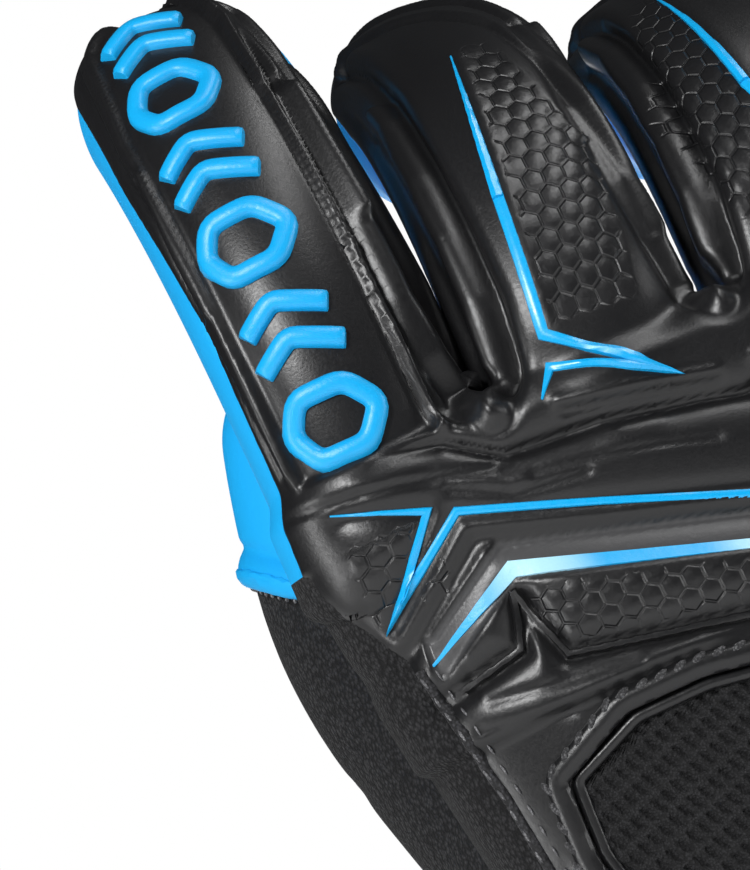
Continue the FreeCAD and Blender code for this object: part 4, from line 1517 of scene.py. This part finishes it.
cell_bump.inputs["Distance"].default_value = 0.0005
grain_bump = labelled(tree, "grain height")
surface_node = labelled(tree, "surface")
tree.links.new(masked.outputs["Value"], cell_bump.inputs["Height"])
tree.links.new(grain_bump.outputs["Normal"], cell_bump.inputs["Normal"])
tree.links.new(cell_bump.outputs["Normal"], surface_node.inputs["Normal"])

# the flat band on the back gets a painted highlight: its base colour is mixed towards a lighter grey there
satin = tree.nodes.new("ShaderNodeAttribute")
satin.label = "satin band"
satin.attribute_name = "satin"
satin.location = (0, 500)
painted_highlight_tone = tree.nodes.new("ShaderNodeMix")
painted_highlight_tone.label = "satin tone"
painted_highlight_tone.data_type = "RGBA"
painted_highlight_tone.location = (300, 400)
painted_highlight_tone.inputs["B"].default_value = (0.055, 0.055, 0.057, 1)
two_tones = labelled(tree, "two tones")
tree.links.new(satin.outputs["Fac"], painted_highlight_tone.inputs["Factor"])
tree.links.new(two_tones.outputs["Result"], painted_highlight_tone.inputs["A"])
tree.links.new(painted_highlight_tone.outputs["Result"], surface_node.inputs["Base Color"])
for title, members in (("honeycomb cells", cell_nodes), ("satin band", [satin, painted_highlight_tone]),
                       ("cell height", [nearest, groove, mask, masked, cell_bump])):
    group = tree.nodes.new("NodeFrame")
    group.label = title
    for node in members:
        node.parent = group

# %% The broad band's blue fades to a pale painted highlight and back along its length
BAND_BLUE = grained("band_print", (0.003, 0.36, 0.76), (0.006, 0.42, 0.84), 0.34, 1500.0, 0.12, 0.6)
tree = BAND_BLUE.node_tree
surface_node = labelled(tree, "surface")
two_tones = labelled(tree, "two tones")
where = labelled(tree, "place on the object")
parts_of_place = tree.nodes.new("ShaderNodeSeparateXYZ")
parts_of_place.label = "across the hand"
parts_of_place.location = (-600, 600)
tree.links.new(where.outputs["Object"], parts_of_place.inputs["Vector"])
unsigned = tree.nodes.new("ShaderNodeMath")
unsigned.label = "both halves alike"
unsigned.operation = "ABSOLUTE"
unsigned.location = (-420, 600)
tree.links.new(parts_of_place.outputs["X"], unsigned.inputs[0])
turned = tree.nodes.new("ShaderNodeMath")
turned.label = "one wave in 28 mm"
turned.operation = "MULTIPLY_ADD"
turned.location = (-240, 600)
turned.inputs[1].default_value = 2 * math.pi / 0.028
turned.inputs[2].default_value = -2 * math.pi * 33 / 28
tree.links.new(unsigned.outputs["Value"], turned.inputs[0])
wave = tree.nodes.new("ShaderNodeMath")
wave.label = "wave"
wave.operation = "COSINE"
wave.location = (-60, 600)
tree.links.new(turned.outputs["Value"], wave.inputs[0])
share = tree.nodes.new("ShaderNodeMapRange")
share.label = "share of the pale tint"
share.interpolation_type = "SMOOTHSTEP"
share.location = (120, 600)
share.inputs["From Min"].default_value = -0.4
share.inputs["From Max"].default_value = 1.1
share.inputs["To Max"].default_value = 0.85
tree.links.new(wave.outputs["Value"], share.inputs["Value"])
# painted highlight: a pale tint mixed into the blue print where light would reflect off the band
pale = tree.nodes.new("ShaderNodeMix")
pale.label = "pale tint"
pale.data_type = "RGBA"
pale.location = (320, 500)
pale.inputs["B"].default_value = (0.5, 0.82, 0.93, 1)
tree.links.new(share.outputs["Result"], pale.inputs["Factor"])
tree.links.new(two_tones.outputs["Result"], pale.inputs["A"])
tree.links.new(pale.outputs["Result"], surface_node.inputs["Base Color"])
group = tree.nodes.new("NodeFrame")
group.label = "pale tint along the band"
for node in (parts_of_place, unsigned, turned, wave, share, pale):
    node.parent = group


# %% One function for textiles: knit, mesh, elastic, tape and thread differ in their numbers
def textile(name, dark, light, weave, rough, depth, stretch=(1.0, 1.0, 1.0), sheen=0.1):
    """Small yarn cells as colour and as height, with a faint sheen."""
    material, tree, shader, where = new_material(name)
    mapping = tree.nodes.new("ShaderNodeMapping")
    mapping.label = "yarn direction"
    mapping.location = (-750, 0)
    mapping.inputs["Scale"].default_value = stretch
    tree.links.new(where.outputs["Object"], mapping.inputs["Vector"])
    yarn = tree.nodes.new("ShaderNodeTexVoronoi")
    yarn.label = "yarn cells"
    yarn.location = (-500, 100)
    yarn.inputs["Scale"].default_value = weave
    tree.links.new(mapping.outputs["Vector"], yarn.inputs["Vector"])
    fuzz = tree.nodes.new("ShaderNodeTexNoise")
    fuzz.label = "fuzz"
    fuzz.location = (-500, -200)
    fuzz.inputs["Scale"].default_value = weave * 1.7
    fuzz.inputs["Detail"].default_value = 3
    tree.links.new(where.outputs["Object"], fuzz.inputs["Vector"])
    level = tree.nodes.new("ShaderNodeMath")
    level.label = "yarn height"
    level.operation = "MULTIPLY_ADD"
    level.location = (-250, 0)
    level.inputs[1].default_value = -1.2
    tree.links.new(yarn.outputs["Distance"], level.inputs[0])
    tree.links.new(fuzz.outputs["Fac"], level.inputs[2])
    ramp = tree.nodes.new("ShaderNodeMapRange")
    ramp.label = "yarn brightness"
    ramp.location = (-50, 150)
    ramp.inputs["From Min"].default_value = -0.2
    ramp.inputs["From Max"].default_value = 0.45
    tree.links.new(level.outputs["Value"], ramp.inputs["Value"])
    tone = tree.nodes.new("ShaderNodeMix")
    tone.label = "yarn tones"
    tone.data_type = "RGBA"
    tone.location = (200, 200)
    tone.inputs["A"].default_value = (*dark, 1)
    tone.inputs["B"].default_value = (*light, 1)
    tree.links.new(ramp.outputs["Result"], tone.inputs["Factor"])
    tree.links.new(tone.outputs["Result"], shader.inputs["Base Color"])
    bump_node = tree.nodes.new("ShaderNodeBump")
    bump_node.label = "weave height"
    bump_node.location = (400, -250)
    bump_node.inputs["Strength"].default_value = depth
    bump_node.inputs["Distance"].default_value = 0.0005
    tree.links.new(level.outputs["Value"], bump_node.inputs["Height"])
    tree.links.new(bump_node.outputs["Normal"], shader.inputs["Normal"])
    shader.inputs["Roughness"].default_value = rough
    shader.inputs["Specular IOR Level"].default_value = 0.25
    shader.inputs["Sheen Weight"].default_value = sheen
    shader.inputs["Sheen Roughness"].default_value = 0.4
    for title, members in (("yarn", (mapping, yarn, fuzz, level)), ("colour", (ramp, tone)),
                           ("weave", (bump_node,))):
        group = tree.nodes.new("NodeFrame")
        group.label = title
        for node in members:
            node.parent = group
    return material


KNIT = textile("side_knit", (0.006, 0.006, 0.0065), (0.034, 0.034, 0.036), 2200.0, 0.85, 0.6,
               stretch=(1.0, 1.0, 0.6), sheen=0.04)
AIRMESH = textile("air_mesh", (0.006, 0.006, 0.0065), (0.026, 0.026, 0.028), 3000.0, 0.75, 0.4, sheen=0.03)
ELASTIC = textile("elastic_webbing", (0.012, 0.012, 0.013), (0.035, 0.035, 0.038), 1400.0, 0.7, 0.4,
                  stretch=(1.0, 1.0, 0.3))
TAPE = textile("binding_tape", (0.012, 0.012, 0.013), (0.045, 0.045, 0.05), 1900.0, 0.6, 0.4)
THREAD_GREY = textile("grey_thread", (0.03, 0.03, 0.032), (0.14, 0.14, 0.145), 2600.0, 0.55, 0.5)
THREAD_PALE = textile("pale_thread", (0.09, 0.09, 0.095), (0.3, 0.3, 0.31), 2600.0, 0.55, 0.4)
TRICOT = textile("tricot_lining", (0.02, 0.02, 0.022), (0.055, 0.055, 0.06), 1200.0, 0.9, 0.4)
HOOKS = textile("hook_and_loop", (0.012, 0.012, 0.014), (0.06, 0.06, 0.065), 900.0, 0.9, 1.0)
NYLON = grained("spine_nylon", (0.07, 0.07, 0.075), (0.1, 0.1, 0.11), 0.35, 500.0, 0.05)

# %% Every piece gets its finish
for name in black_panels:
    pieces[name].data.materials.append(FOAM_BLACK)
for name in blue_panels:
    pieces[name].data.materials.append(LATEX_BLUE)
for name in knit_panels:
    pieces[name].data.materials.append(KNIT)
FINISHES = [
    (FOAM_BLACK, [ribs, welt_piece]), (LATEX_BLUE, [hem]), (MOTIF_BLUE, [motifs_base, motifs_tip]),
    (INK_BLUE, [star, badge] + finger_inlays), (BAND_BLUE, [band]), (AIRMESH, [mesh_sheet]),
    (TAPE, [seam, binding, seam_tape]), (THREAD_GREY, [window_stitches]),
    (THREAD_PALE, [seam_stitches, hem_stitches]),
    (ELASTIC, [bandage, tab]), (STRAP_BLACK, [strap]), (HOOKS, [loop, hook]), (TRICOT, [lining])]
for material, members in FINISHES:
    for piece in members:
        piece.data.materials.append(material)
for node_name, node_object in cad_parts.items():
    if "_spine_" in node_name or node_name == "web_gussets":
        node_object.data.materials.clear()
        node_object.data.materials.append(NYLON if "_spine_" in node_name else KNIT)

# %% [markdown]
# The glove is shown from its back, a little from the thumb side, and rolled so that the fingers
# lean to the left, with soft light from big panels and a white ground behind it.

# %% Camera
FOCUS = Vector((-30.0, -10.0, 178.0)) * MM     # the web between index and middle finger
DISTANCE = 0.62
AZIMUTH, ELEVATION, ROLL = math.radians(-8.0), math.radians(-6.0), math.radians(25.0)
FIELD = 0.1061                                 # height of what the camera takes in at that place
OFFSET = (0.0133, 0.0016)                      # the place's distance from the middle of the view
backward = Vector((math.sin(AZIMUTH) * math.cos(ELEVATION), -math.cos(AZIMUTH) * math.cos(ELEVATION),
                   math.sin(ELEVATION)))
level = (-backward).cross(Vector((0, 0, 1))).normalized()
upward = level.cross(-backward)
right = math.cos(ROLL) * level - math.sin(ROLL) * upward
top = math.sin(ROLL) * level + math.cos(ROLL) * upward
place = FOCUS - right * OFFSET[0] - top * OFFSET[1] + backward * DISTANCE
camera_data = bpy.data.cameras.new("camera")
camera_data.lens = camera_data.sensor_width * DISTANCE / FIELD
camera_data.clip_start = 0.01
camera = bpy.data.objects.new("camera", camera_data)
scene.collection.objects.link(camera)
turn = Matrix((right, top, backward)).transposed()
camera.matrix_world = Matrix.Translation(place) @ turn.to_4x4()
scene.camera = camera
print("lens", round(camera_data.lens, 1), "mm")


# %% Light and ground
def panel_light(name, place, aim, size, power):
    data = bpy.data.lights.new(name, "AREA")
    data.shape = "RECTANGLE"
    data.size, data.size_y = size
    data.energy = power
    lamp = bpy.data.objects.new(name, data)
    scene.collection.objects.link(lamp)
    lamp.location = place
    lamp.rotation_euler = (Vector(aim) - Vector(place)).to_track_quat("-Z", "Y").to_euler()


def seen(back, side, rise):
    """A place given from the glove: towards the camera, to the right and up in its view."""
    return FOCUS + backward * back + right * side + top * rise


panel_light("key", seen(0.70, -0.50, 0.42), FOCUS, (0.20, 0.24), 6.6)
panel_light("low_left", seen(0.50, -0.85, -0.25), FOCUS, (0.12, 0.50), 3.6)
panel_light("right_edge", seen(0.15, 0.95, 0.30), FOCUS, (0.14, 0.80), 4.0)
panel_light("top_edge", seen(0.10, 0.15, 1.00), FOCUS, (0.90, 0.12), 3.6)
panel_light("back_fill", (0.25, 1.0, 0.15), (0.0, 0.02, 0.13), (0.8, 0.25), 5.0)
panel_light("back_side", (0.95, 0.25, 0.25), (0.0, 0.02, 0.13), (0.5, 0.4), 3.0)

world = bpy.data.worlds.new("studio")
scene.world = world
world.use_nodes = True
sky = world.node_tree
sky.nodes.clear()
rays = sky.nodes.new("ShaderNodeLightPath")
dim = sky.nodes.new("ShaderNodeBackground")
dim.inputs["Color"].default_value = (0.9, 0.95, 1.0, 1)
dim.inputs["Strength"].default_value = 0.03
white = sky.nodes.new("ShaderNodeBackground")
white.inputs["Color"].default_value = (1, 1, 1, 1)
white.inputs["Strength"].default_value = 1.0
choose = sky.nodes.new("ShaderNodeMixShader")
result = sky.nodes.new("ShaderNodeOutputWorld")
for column, (node, label) in enumerate(((rays, "what the camera sees"), (dim, "dim light on the glove"),
                                        (white, "white behind it"), (choose, "one or the other"),
                                        (result, "sky"))):
    node.label = label
    node.location = (250 * column, 0)
sky.links.new(rays.outputs["Is Camera Ray"], choose.inputs["Fac"])
sky.links.new(dim.outputs["Background"], choose.inputs[1])
sky.links.new(white.outputs["Background"], choose.inputs[2])
sky.links.new(choose.outputs["Shader"], result.inputs["Surface"])

bpy.ops.object.select_all(action="DESELECT")
bpy.ops.mesh.primitive_plane_add(size=4.0, location=(0, 0, -0.0006))
floor = bpy.context.object
floor.name = "floor"
paint = bpy.data.materials.new("floor_paint")
paint.use_nodes = True
pale_ground = paint.node_tree.nodes["Principled BSDF"]
pale_ground.label = "pale ground"
pale_ground.inputs["Base Color"].default_value = (0.82, 0.82, 0.82, 1)
pale_ground.inputs["Roughness"].default_value = 0.7
pale_ground.inputs["Emission Color"].default_value = (1, 1, 1, 1)
pale_ground.inputs["Emission Strength"].default_value = 0.3
floor.data.materials.append(paint)
